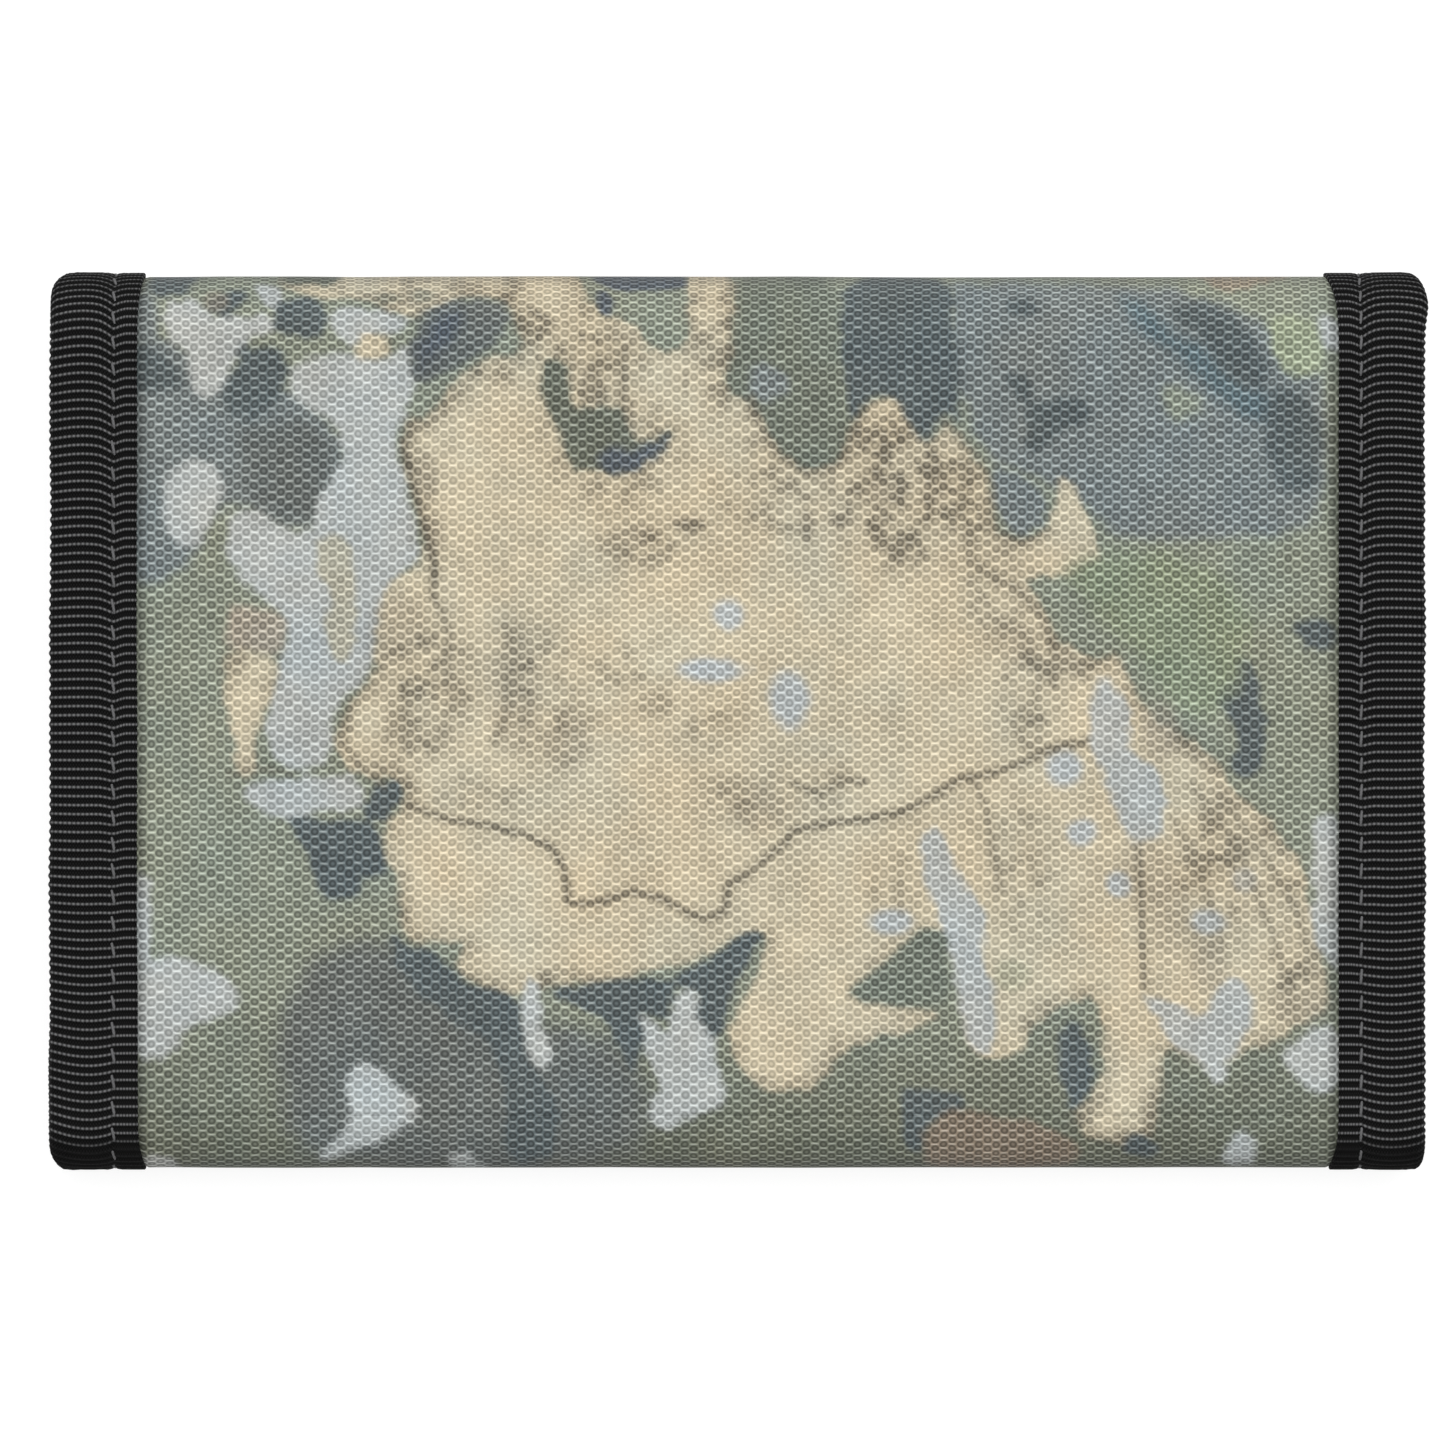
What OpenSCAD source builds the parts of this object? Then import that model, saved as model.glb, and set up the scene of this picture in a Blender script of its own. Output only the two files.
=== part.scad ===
// Trifold wallet of woven polyester with black ribbon edges, closed and lying on its front flap.
// Three panels in a row, joined by two soft folds, close like a letter: the short third panel with
// its zip pocket folds in at the bottom first, and the flap folds over it from the top.
// +X runs along the folds, +Y from the bottom fold to the top fold, +Z from the flap up to the back
// face. The origin is the middle of the footprint. Each fold is a narrow spine with a hinge line on
// each side. A hinge line lies axis_in inside the wallet's box, and nothing crosses its plane.

/* [Closed wallet] */
// Width along the folds
wallet_w = 130; // [120:1:140]
// Height from the bottom fold to the top fold
wallet_h = 85; // [82:1:90]
// Thickness, closed and empty
wallet_t = 15; // [14.5:0.5:17]
// Length of the third panel, from its hinge line to its free edge
third_len = 47; // [44:1:47]
// Height of the third panel's outer face above the surface the wallet lies on
third_z = 5.5; // [5.4:0.05:5.6]

/* [Cloth and boards] */
// Thickness of the printed outer fabric
outer_t = 0.6; // [0.5:0.05:0.6]
// Thickness of the stiffening board
board_t = 0.5; // [0.4:0.05:0.5]
// Thickness of the lining
lining_t = 0.4; // [0.3:0.05:0.4]
// Distance of each hinge line inside the wallet's box
axis_in = 1.5; // [1.5:0.05:1.6]
// Gap left at each hinge line
hinge_gap = 0.1; // [0.05:0.05:0.2]

/* [Ribbon edges] */
// Width of the ribbon on the side edges
ribbon_w = 9; // [8:0.5:10]
// Width of the ribbon on the free ends
end_ribbon_w = 8; // [7:0.5:8]
// Thickness of the ribbon
ribbon_t = 0.5; // [0.4:0.05:0.5]
// Width of the tape on the mouth of the note pocket
mouth_tape_w = 6; // [5:0.5:7]

/* [Card pockets] */
// Width of the card pockets and of the card window
pocket_w = 100; // [96:1:100]
// Number of card pockets
slot_count = 3; // [2:1:3]
// Height of the shortest card pocket
slot_h = 36; // [34:1:38]
// Step from one pocket's mouth to the next
slot_step = 10; // [8:1:10]
// Thickness of a pocket's fabric
slot_t = 0.4; // [0.3:0.05:0.4]
// Room for a card in each pocket
card_room = 0.4; // [0.3:0.05:0.4]
// Width of a pocket's sewn rim
seam_w = 3; // [2:0.5:4]
// Height of the card window with its frame
window_h = 54; // [50:1:54]
// Width of the window's frame
window_rim = 6; // [5:0.5:7]

/* [Hook and loop closure] */
// Width of the hook strip
hook_w = 70; // [50:1:80]
// Height of the hook strip
hook_h = 16; // [12:1:16]
// Thickness of the hook strip
hook_t = 1.8; // [1.6:0.05:1.8]
// How far the loop strip stands out round the hook strip
loop_extra = 1; // [0:0.5:1]

/* [Zip] */
// Distance of the zip from the third panel's hinge line
zip_reach = 33; // [32:0.5:33]
// Width of the opening that shows the zip
zip_opening = 10; // [9:0.5:10]
// Length of the row of teeth
zip_len = 100; // [90:1:104]
// Pitch of the teeth
tooth_pitch = 2; // [1.8:0.1:2.4]
// Width of one zip tape
tape_w = 8; // [7:0.5:8]
// Length of the slider
slider_l = 9; // [8:0.5:10]
// Width of the slider
slider_w = 7; // [6:0.5:8]

/* [Hidden] */

half_w = wallet_w / 2;
half_h = wallet_h / 2;
hinge_y = half_h - axis_in;
panel_y = hinge_y - hinge_gap;
cloth_w = wallet_w - 2 * ribbon_t;

// Layers from the outer face of a panel inwards, each where it starts
board_at = ribbon_t + outer_t;
lining_at = board_at + board_t;
lining_top = lining_at + lining_t;

// The note pocket is open on the right, so its lining stops short of the ribbon there
note_mouth_gap = 2;
lining_x0 = -half_w + ribbon_t;
lining_x1 = half_w - ribbon_w - note_mouth_gap;
mouth_tape_t = 0.3;
pocket_x = (lining_x0 + ribbon_w - ribbon_t + lining_x1 - mouth_tape_w) / 2;

// Third panel
third_end_y = -hinge_y + third_len;
third_cloth_at = third_z + ribbon_t;
coin_room = 1.8;
third_board_at = third_cloth_at + outer_t + coin_room;
third_lining_at = third_board_at + board_t;
third_top = third_lining_at + lining_t;
third_hinge_z = third_z + axis_in;

// Closure: the loop strip faces the hook strip across a small gap
closure_gap = 0.3;
closure_y = -24.5;
loop_t = third_cloth_at - lining_top - hook_t - closure_gap;

// Card pockets start on the back panel's lining and stack towards the third panel
pocket_y0 = -37;
window_y0 = -14.5;
window_t = 0.6;
vinyl_t = 0.2;

// Zip
zip_y = -hinge_y + zip_reach;
zip_opening_y0 = zip_y - zip_opening / 2;
zip_opening_y1 = zip_y + zip_opening / 2;
tape_t = 0.3;
tape_z = third_cloth_at + outer_t;
tape_gap = 0.6;
tape_over = 4;
tape_len = zip_len + 2 * tape_over;
tooth_w = 0.9;
tooth_reach = 1.4;
tooth_t = 0.6;
row_gap = 0.4;
tooth_count = floor(zip_len / tooth_pitch);
stop_l = 2;
stop_gap = 0.5;
slider_plate_t = 0.5;
slider_gap = 0.1;
slider_top_z = tape_z - tooth_t - slider_gap - slider_plate_t;
slider_under_z = tape_z + tape_t + slider_gap;
slider_rest_gap = 2;
slider_rest_x = -zip_len / 2 + slider_rest_gap + slider_l / 2;
post_t = 0.2;
post_l = 3;
bridge_l = 7;
bridge_w = 2;
bridge_h = 1.2;
bridge_t = 0.4;
bridge_leg = 1;
pull_w = 4;
pull_l = 10;
pull_t = 0.4;
pull_gap = 0.2;

// How far a cut runs past the face it opens
cut_over = 1;

print_green = "#7f8a72";
ribbon_black = "#1b1b1d";
lining_black = "#232326";
board_grey = "#8c8c88";
vinyl_clear = "#c8d2d6";

// A box between two corners
module block(low, high) {
    translate(low)
        cube(high - low);
}

// A flat layer of a panel across the full cloth width
module layer(y0, y1, z0, thick) {
    block([-cloth_w / 2, y0, z0], [cloth_w / 2, y1, z0 + thick]);
}

// Ribbon folded round a side edge: side is -1 on the left and 1 on the right
module side_ribbon(side, y0, y1, z0, z1) {
    mirror([side < 0 ? 1 : 0, 0, 0])
        difference() {
            block([half_w - ribbon_w, y0, z0], [half_w, y1, z1]);
            block([half_w - ribbon_w - cut_over, y0 - cut_over, z0 + ribbon_t],
                  [half_w - ribbon_t, y1 + cut_over, z1 - ribbon_t]);
        }
}

// Ribbon folded round a free end, between the side ribbons: out is -1 or 1 along Y
module end_ribbon(end_y, out, z0, z1) {
    inner_w = wallet_w - 2 * ribbon_w;
    translate([0, end_y, 0])
        mirror([0, out < 0 ? 1 : 0, 0])
            difference() {
                block([-inner_w / 2, -end_ribbon_w, z0], [inner_w / 2, 0, z1]);
                block([-inner_w, -end_ribbon_w - cut_over, z0 + ribbon_t],
                      [inner_w, -ribbon_t, z1 - ribbon_t]);
            }
}

// Upright cloth of a fold, from its hinge plane outwards: out is -1 or 1 along Y
module fold_layer(out, x0, x1, from, thick, z0, z1) {
    mirror([0, out < 0 ? 1 : 0, 0])
        block([x0, hinge_y + from, z0], [x1, hinge_y + from + thick, z1]);
}

// Ribbon round the side edge of a fold
module fold_ribbon(side, out, z0, z1) {
    mirror([side < 0 ? 1 : 0, 0, 0])
        mirror([0, out < 0 ? 1 : 0, 0]) {
            block([half_w - ribbon_w, half_h - ribbon_t, z0], [half_w, half_h, z1]);
            block([half_w - ribbon_t, hinge_y, z0], [half_w, half_h - ribbon_t, z1]);
        }
}

// Tape that finishes the lining's free edge at the mouth of the note pocket
module mouth_tape(y0, y1) {
    block([lining_x1 - mouth_tape_w, y0, lining_top],
          [lining_x1 + mouth_tape_t, y1, lining_top + mouth_tape_t]);
    block([lining_x1, y0, lining_at], [lining_x1 + mouth_tape_t, y1, lining_top]);
}

// Turns a panel drawn from the floor up into one drawn from the back face down
module from_back() {
    translate([0, 0, wallet_t])
        mirror([0, 0, 1])
            children();
}

// Flap: the front panel, which the wallet lies on
module flap_outer_fabric() {
    color(print_green)
        layer(-panel_y + ribbon_t, panel_y, ribbon_t, outer_t);
}

module flap_board() {
    color(board_grey)
        layer(-panel_y + ribbon_t, panel_y, board_at, board_t);
}

module flap_lining() {
    color(lining_black)
        block([lining_x0, -panel_y + ribbon_t, lining_at], [lining_x1, panel_y, lining_top]);
}

module flap_left_ribbon() {
    color(ribbon_black)
        side_ribbon(-1, -panel_y, panel_y, 0, lining_top + ribbon_t);
}

module flap_right_ribbon() {
    color(ribbon_black)
        side_ribbon(1, -panel_y, panel_y, 0, lining_at + ribbon_t);
}

module flap_end_ribbon() {
    color(ribbon_black)
        difference() {
            end_ribbon(-panel_y, -1, 0, lining_top + ribbon_t);
            block([lining_x1, -half_h, lining_at], [half_w, 0, wallet_t]);
        }
}

module flap_mouth_tape() {
    color(ribbon_black)
        mouth_tape(-panel_y + end_ribbon_w, panel_y);
}

module card_window_frame() {
    color(lining_black)
        difference() {
            block([pocket_x - pocket_w / 2, window_y0, lining_top],
                  [pocket_x + pocket_w / 2, window_y0 + window_h, lining_top + window_t]);
            block([pocket_x - pocket_w / 2 + window_rim, window_y0 + window_rim,
                   lining_top - cut_over],
                  [pocket_x + pocket_w / 2 - window_rim, window_y0 + window_h - window_rim,
                   lining_top + window_t + cut_over]);
        }
}

module card_window() {
    color(vinyl_clear)
        block([pocket_x - pocket_w / 2 + window_rim, window_y0 + window_rim, lining_top + card_room / 2],
              [pocket_x + pocket_w / 2 - window_rim, window_y0 + window_h - window_rim,
               lining_top + card_room / 2 + vinyl_t]);
}

module hook_strip() {
    color(ribbon_black)
        block([-hook_w / 2, closure_y - hook_h / 2, lining_top],
              [hook_w / 2, closure_y + hook_h / 2, lining_top + hook_t]);
}

// Top fold
module top_fold_fabric() {
    color(print_green)
        fold_layer(1, -cloth_w / 2, cloth_w / 2, lining_t, outer_t, axis_in, wallet_t - axis_in);
}

module top_fold_lining() {
    color(lining_black)
        fold_layer(1, lining_x0, lining_x1, 0, lining_t, axis_in, wallet_t - axis_in);
}

module top_fold_left_ribbon() {
    color(ribbon_black)
        fold_ribbon(-1, 1, axis_in, wallet_t - axis_in);
}

module top_fold_right_ribbon() {
    color(ribbon_black)
        fold_ribbon(1, 1, axis_in, wallet_t - axis_in);
}

// Back panel: the middle one of the three, with its outer face on top
module back_outer_fabric() {
    color(print_green)
        from_back()
            layer(-panel_y, panel_y, ribbon_t, outer_t);
}

module back_board() {
    color(board_grey)
        from_back()
            layer(-panel_y, panel_y, board_at, board_t);
}

module back_lining() {
    color(lining_black)
        from_back()
            block([lining_x0, -panel_y, lining_at], [lining_x1, panel_y, lining_top]);
}

module back_left_ribbon() {
    color(ribbon_black)
        from_back()
            side_ribbon(-1, -panel_y, panel_y, 0, lining_top + ribbon_t);
}

module back_right_ribbon() {
    color(ribbon_black)
        from_back()
            side_ribbon(1, -panel_y, panel_y, 0, lining_at + ribbon_t);
}

module back_mouth_tape() {
    color(ribbon_black)
        from_back()
            mouth_tape(-panel_y, panel_y);
}

// One card pocket: a sheet with a rim on three sides that keeps room for a card behind it
module card_pocket(place) {
    height = slot_h + slot_step * (slot_count - 1 - place);
    pitch = slot_t + card_room;
    x0 = pocket_x - pocket_w / 2;
    x1 = pocket_x + pocket_w / 2;
    color(lining_black)
        from_back()
            translate([0, 0, lining_top + pitch * place])
                difference() {
                    block([x0, pocket_y0, 0], [x1, pocket_y0 + height, pitch]);
                    block([x0 + seam_w, pocket_y0 + seam_w, -cut_over],
                          [x1 - seam_w, pocket_y0 + height + cut_over, card_room]);
                }
}

// Bottom fold
module bottom_fold_fabric() {
    color(print_green)
        fold_layer(-1, -cloth_w / 2, cloth_w / 2, lining_t, outer_t, third_hinge_z,
                   wallet_t - axis_in);
}

module bottom_fold_lining() {
    color(lining_black)
        fold_layer(-1, lining_x0, lining_x1, 0, lining_t, third_hinge_z, wallet_t - axis_in);
}

module bottom_fold_left_ribbon() {
    color(ribbon_black)
        fold_ribbon(-1, -1, third_hinge_z, wallet_t - axis_in);
}

module bottom_fold_right_ribbon() {
    color(ribbon_black)
        fold_ribbon(1, -1, third_hinge_z, wallet_t - axis_in);
}

// Third panel: a flat zip pocket with its outer face towards the flap
module third_outer_fabric() {
    color(print_green)
        layer(-panel_y, zip_opening_y0, third_cloth_at, outer_t);
}

module zip_lip_fabric() {
    color(print_green)
        layer(zip_opening_y1, third_end_y - ribbon_t, third_cloth_at, outer_t);
}

module zip_tape_lower() {
    color(ribbon_black)
        block([-tape_len / 2, zip_y - tape_gap / 2 - tape_w, tape_z],
              [tape_len / 2, zip_y - tape_gap / 2, tape_z + tape_t]);
}

module zip_tape_upper() {
    color(ribbon_black)
        block([-tape_len / 2, zip_y + tape_gap / 2, tape_z],
              [tape_len / 2, zip_y + tape_gap / 2 + tape_w, tape_z + tape_t]);
}

// A row of teeth that stands on its tape: side is -1 below the zip's line and 1 above it
module tooth_row(side) {
    stagger = side > 0 ? tooth_pitch / 2 : 0;
    color(ribbon_black)
        for (i = [0 : tooth_count - 1])
            translate([-zip_len / 2 + i * tooth_pitch + stagger, zip_y, tape_z - tooth_t])
                mirror([0, side < 0 ? 1 : 0, 0])
                    translate([0, row_gap / 2, 0])
                        cube([tooth_w, tooth_reach, tooth_t]);
}

// A folded metal stop at each end of the teeth
module zip_stops() {
    stop_x = zip_len / 2 + stop_gap + stop_l / 2;
    color("silver")
        for (side = [-1, 1])
            translate([side * stop_x - stop_l / 2, zip_y - tooth_reach, tape_z - tooth_t])
                cube([stop_l, 2 * tooth_reach, tooth_t]);
}

module third_board() {
    color(board_grey)
        layer(-panel_y, third_end_y - ribbon_t, third_board_at, board_t);
}

module third_lining() {
    color(lining_black)
        layer(-panel_y, third_end_y - ribbon_t, third_lining_at, lining_t);
}

module third_left_ribbon() {
    color(ribbon_black)
        side_ribbon(-1, -panel_y, third_end_y, third_z, third_top + ribbon_t);
}

module third_right_ribbon() {
    color(ribbon_black)
        side_ribbon(1, -panel_y, third_end_y, third_z, third_top + ribbon_t);
}

module third_end_ribbon() {
    color(ribbon_black)
        end_ribbon(third_end_y, 1, third_z, third_top + ribbon_t);
}

module loop_strip() {
    color(ribbon_black)
        block([-hook_w / 2 - loop_extra, closure_y - hook_h / 2 - loop_extra, third_cloth_at - loop_t],
              [hook_w / 2 + loop_extra, closure_y + hook_h / 2 + loop_extra, third_cloth_at]);
}

// Slider: a plate on each side of the teeth, a post between the rows and a bridge for the pull
module zip_slider() {
    color("silver")
        translate([slider_rest_x, zip_y, 0]) {
            block([-slider_l / 2, -slider_w / 2, slider_top_z],
                  [slider_l / 2, slider_w / 2, slider_top_z + slider_plate_t]);
            block([-slider_l / 2, -slider_w / 2, slider_under_z],
                  [slider_l / 2, slider_w / 2, slider_under_z + slider_plate_t]);
            block([-post_l / 2, -post_t / 2, slider_top_z],
                  [post_l / 2, post_t / 2, slider_under_z + slider_plate_t]);
            difference() {
                block([-bridge_l / 2, -bridge_w / 2, slider_top_z - bridge_h],
                      [bridge_l / 2, bridge_w / 2, slider_top_z]);
                block([-bridge_l / 2 + bridge_leg, -bridge_w, slider_top_z - bridge_h + bridge_t],
                      [bridge_l / 2 - bridge_leg, bridge_w, slider_top_z]);
            }
        }
}

// Soft ribbon pull that passes under the slider's bridge
module zip_pull_ribbon() {
    color(ribbon_black)
        translate([slider_rest_x, zip_y, slider_top_z - pull_t - pull_gap])
            block([-pull_w / 2, -bridge_w / 2, 0], [pull_w / 2, pull_l - bridge_w / 2, pull_t]);
}

flap_outer_fabric();
flap_board();
flap_lining();
flap_left_ribbon();
flap_right_ribbon();
flap_end_ribbon();
flap_mouth_tape();
card_window_frame();
card_window();
hook_strip();
top_fold_fabric();
top_fold_lining();
top_fold_left_ribbon();
top_fold_right_ribbon();
back_outer_fabric();
back_board();
back_lining();
back_left_ribbon();
back_right_ribbon();
back_mouth_tape();
card_pocket(0);  // card_pocket_back
card_pocket(1);  // card_pocket_middle
card_pocket(2);  // card_pocket_front
bottom_fold_fabric();
bottom_fold_lining();
bottom_fold_left_ribbon();
bottom_fold_right_ribbon();
third_outer_fabric();
zip_lip_fabric();
zip_tape_lower();
zip_tape_upper();
tooth_row(-1);  // zip_teeth_lower
tooth_row(1);  // zip_teeth_upper
zip_stops();
third_board();
third_lining();
third_left_ribbon();
third_right_ribbon();
third_end_ribbon();
loop_strip();
zip_slider();
zip_pull_ribbon();
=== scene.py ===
import math

import bpy
import numpy as np
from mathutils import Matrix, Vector


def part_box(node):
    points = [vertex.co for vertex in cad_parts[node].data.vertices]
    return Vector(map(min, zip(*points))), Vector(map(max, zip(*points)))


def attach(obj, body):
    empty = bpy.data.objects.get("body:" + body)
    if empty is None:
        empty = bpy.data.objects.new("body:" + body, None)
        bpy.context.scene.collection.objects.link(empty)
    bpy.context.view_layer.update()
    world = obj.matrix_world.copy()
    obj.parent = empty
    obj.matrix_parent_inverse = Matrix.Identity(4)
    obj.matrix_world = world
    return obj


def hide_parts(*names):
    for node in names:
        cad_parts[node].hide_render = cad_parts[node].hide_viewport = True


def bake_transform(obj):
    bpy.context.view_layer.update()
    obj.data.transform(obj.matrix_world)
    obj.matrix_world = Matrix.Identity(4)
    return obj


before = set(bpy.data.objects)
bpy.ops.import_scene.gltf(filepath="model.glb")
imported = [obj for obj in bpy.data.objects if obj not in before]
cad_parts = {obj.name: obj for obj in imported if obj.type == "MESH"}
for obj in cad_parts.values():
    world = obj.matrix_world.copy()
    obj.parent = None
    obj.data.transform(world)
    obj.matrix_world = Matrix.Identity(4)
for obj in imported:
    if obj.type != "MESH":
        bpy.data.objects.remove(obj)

PI = math.pi
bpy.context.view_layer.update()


def corners(node):
    low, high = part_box(node)
    return np.array(low) * 1000, np.array(high) * 1000


# ---------------------------------------------------------------- sizes from the frame
BACK_LOW, BACK_HIGH = corners("back_left_ribbon")
THIRD_LOW, THIRD_HIGH = corners("third_left_ribbon")
RIBBON_W = BACK_HIGH[0] - BACK_LOW[0]
HALF_W = -BACK_LOW[0]
HALF_H = corners("top_fold_left_ribbon")[1][1]
THICK = BACK_HIGH[2]
END_Y = corners("flap_left_ribbon")[0][1]
THIRD_Z = THIRD_LOW[2]
THIRD_END = THIRD_HIGH[1]
MOUTH_X = corners("flap_lining")[1][0]
RIBBON_IN = HALF_W - RIBBON_W

# The outer face runs from the flap's free end round the two folds to the third panel's free end
R_TOP = 7.0
R_LOW = (THICK - THIRD_Z) / 2
TOP_C = HALF_H - R_TOP
LOW_C = R_LOW - HALF_H
S1 = TOP_C - END_Y
S2 = S1 + R_TOP * PI / 2
S3 = S2 + THICK - 2 * R_TOP
S4 = S3 + R_TOP * PI / 2
S5 = S4 + TOP_C - LOW_C
S6 = S5 + R_LOW * PI
S7 = S6 + THIRD_END - LOW_C
S_TOP = (S2 + S3) / 2
S_MID = S4 + TOP_C
S_LOW = (S5 + S6) / 2
SEAMS = [0, S_TOP, S_MID, S_LOW, S7]


def outline(s):
    """The outer face at distance s: y, z and the outward normal's y and z."""
    s = np.asarray(s, float)
    bends = [(s - S1) / R_TOP - PI / 2, (s - S3) / R_TOP, (s - S5) / R_LOW + PI / 2]
    c = [np.cos(a) for a in bends]
    d = [np.sin(a) for a in bends]
    zero = 0 * s
    where = [s < S1, s < S2, s < S3, s < S4, s < S5, s < S6, s >= S6]
    ny = np.select(where, [zero, c[0], zero + 1, c[1], zero, c[2], zero])
    nz = np.select(where, [zero - 1, d[0], zero, d[1], zero + 1, d[2], zero - 1])
    y = np.select(where, [END_Y + s, TOP_C + R_TOP * ny, zero + HALF_H, TOP_C + R_TOP * ny,
                          TOP_C + S4 - s, LOW_C + R_LOW * ny, LOW_C + s - S6])
    z = np.select(where, [zero, R_TOP + R_TOP * nz, R_TOP + s - S2, THICK - R_TOP + R_TOP * nz,
                          zero + THICK, THICK - R_LOW + R_LOW * nz, zero + THIRD_Z])
    return y, z, ny, nz


def place(x, s, depth):
    """Points at x, distance s round the wallet and depth below the outer face."""
    y, z, ny, nz = outline(s)
    return np.stack(np.broadcast_arrays(x, y - ny * depth, z - nz * depth), -1)


def step(a, b, v):
    t = np.clip((np.asarray(v, float) - a) / (b - a), 0, 1)
    return t * t * (3 - 2 * t)


def quarter_round(v):
    """How far a rounded edge has fallen: 1 at the edge and 0 from v = 1 on."""
    return 1 - np.sqrt(np.clip(1 - (1 - np.clip(v, 0, 1)) ** 2, 0, 1))


def noise(x, y, size, seed):
    """Smooth noise from -1 to 1."""
    gx = np.asarray(x, float) / size
    gy = np.asarray(y, float) / size
    ix = np.floor(gx)
    iy = np.floor(gy)

    def corner(dx, dy):
        v = np.sin((ix + dx) * 127.1 + (iy + dy) * 311.7 + seed * 74.7) * 43758.5453
        return v - np.floor(v)

    tx = step(0, 1, gx - ix)
    ty = step(0, 1, gy - iy)
    low = corner(0, 0) * (1 - tx) + corner(1, 0) * tx
    high = corner(0, 1) * (1 - tx) + corner(1, 1) * tx
    return 2 * (low * (1 - ty) + high * ty) - 1


# ---------------------------------------------------------------- meshes
def mesh(name, points, faces, uv=None, colour=None, rim=0):
    """A mesh object. Its last rim faces are shaded flat, so that they don't tilt the shading next to them."""
    data = bpy.data.meshes.new(name)
    data.from_pydata((np.asarray(points).reshape(-1, 3) / 1000).tolist(), [], faces)
    data.update()
    data.polygons.foreach_set("use_smooth", [k < len(faces) - rim for k in range(len(faces))])
    if uv is not None:
        index = np.empty(len(data.loops), int)
        data.loops.foreach_get("vertex_index", index)
        layer = data.uv_layers.new(name="UVMap")
        layer.data.foreach_set("uv", np.asarray(uv, float).reshape(-1, 2)[index].ravel())
    if colour is not None:
        rgba = np.ones((len(data.vertices), 4))
        rgba[:, :3] = np.asarray(colour).reshape(-1, 3)
        attribute = data.color_attributes.new(name="print", type="FLOAT_COLOR", domain="POINT")
        attribute.data.foreach_set("color", rgba.ravel())
    made = bpy.data.objects.new(name, data)
    bpy.context.scene.collection.objects.link(made)
    return made


UNPRINTED = 0.03


def slab(name, outer, inner, uv, colour=None):
    """A closed thin solid between two grids of points. The colour is the outer face's; the inner is dark."""
    rows, cols = outer.shape[:2]
    i, j = np.meshgrid(np.arange(rows - 1), np.arange(cols - 1), indexing="ij")
    a = (i * cols + j).ravel()
    top = np.stack([a, a + cols, a + cols + 1, a + 1], 1)
    n = rows * cols
    faces = [top, top[:, ::-1] + n]
    first = np.arange(cols)
    last = first + (rows - 1) * cols
    left = np.arange(rows) * cols
    right = left + cols - 1
    for line in (first, last[::-1], left[::-1], right):
        p = line[:-1]
        q = line[1:]
        faces.append(np.stack([p, q, q + n, p + n], 1))
    points = np.concatenate([outer.reshape(-1, 3), inner.reshape(-1, 3)])
    both = np.concatenate([uv.reshape(-1, 2)] * 2)
    if colour is not None:
        face = colour.reshape(-1, 3)
        colour = np.concatenate([face, np.full(face.shape, UNPRINTED)])
    return mesh(name, points, np.concatenate(faces).tolist(), both, colour, 2 * (rows + cols - 2))


def tube(name, rings, uv, flip):
    """A closed tube through rings of points, with a flat cap at each end."""
    rows, cols = rings.shape[:2]
    i, j = np.meshgrid(np.arange(rows - 1), np.arange(cols), indexing="ij")
    k = (j + 1) % cols
    quads = np.stack([i * cols + j, (i + 1) * cols + j, (i + 1) * cols + k, i * cols + k], -1)
    quads = quads.reshape(-1, 4)
    start = list(range(cols))
    end = [(rows - 1) * cols + c for c in reversed(range(cols))]
    if flip:
        quads = quads[:, ::-1]
        start.reverse()
        end.reverse()
    return mesh(name, rings, quads.tolist() + [start, end], uv, rim=2)


def flat(name, x0, x1, y0, y1, top, bottom, grain=1.0, round_off=0.3, up=1, top_fn=None):
    """A thin flat piece with softened edges. top and bottom are heights, and up is -1 if top is the lower."""
    xs = np.unique(np.concatenate([np.linspace(x0, x1, max(3, int((x1 - x0) / grain) + 1)),
                                   [x0 + round_off / 2, x0 + round_off, x1 - round_off, x1 - round_off / 2]]))
    ys = np.unique(np.concatenate([np.linspace(y0, y1, max(3, int((y1 - y0) / grain) + 1)),
                                   [y0 + round_off / 2, y0 + round_off, y1 - round_off, y1 - round_off / 2]]))
    ys = ys[::-1] if up > 0 else ys
    x, y = np.meshgrid(xs, ys)
    edge = np.minimum(np.minimum(x - x0, x1 - x), np.minimum(y - y0, y1 - y))
    fall = quarter_round(edge / round_off)
    height = top + (bottom - top) * 0.42 * fall
    low = bottom + (top - bottom) * 0.42 * fall
    if top_fn is not None:
        height = height + top_fn(x, y)
    return slab(name, np.stack([x, y, height], -1), np.stack([x, y, low], -1), np.stack([x, y], -1))


def many(name, template, faces, frames):
    """Copies of a small template. frames are (origin, x axis, y axis, z axis) tuples."""
    points = []
    all_faces = []
    for count, (origin, ax, ay, az) in enumerate(frames):
        turn = np.stack([ax, ay, az])
        points.append(template @ turn + origin)
        all_faces.extend([[v + count * len(template) for v in f] for f in faces])
    points = np.concatenate(points)
    return mesh(name, points, all_faces, points[:, :2])


def rod_template(stations, sides=6):
    """A closed rod through (x, y, z, radius) stations that run roughly along x."""
    points = []
    for x, y, z, r in stations:
        for k in range(sides):
            a = 2 * PI * k / sides
            points.append([x, y + r * math.cos(a), z + r * math.sin(a)])
    faces = []
    for i in range(len(stations) - 1):
        for k in range(sides):
            m = (k + 1) % sides
            faces.append([i * sides + k, i * sides + m, (i + 1) * sides + m, (i + 1) * sides + k])
    faces.append(list(reversed(range(sides))))
    faces.append([(len(stations) - 1) * sides + k for k in range(sides)])
    return np.array(points), faces


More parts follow.
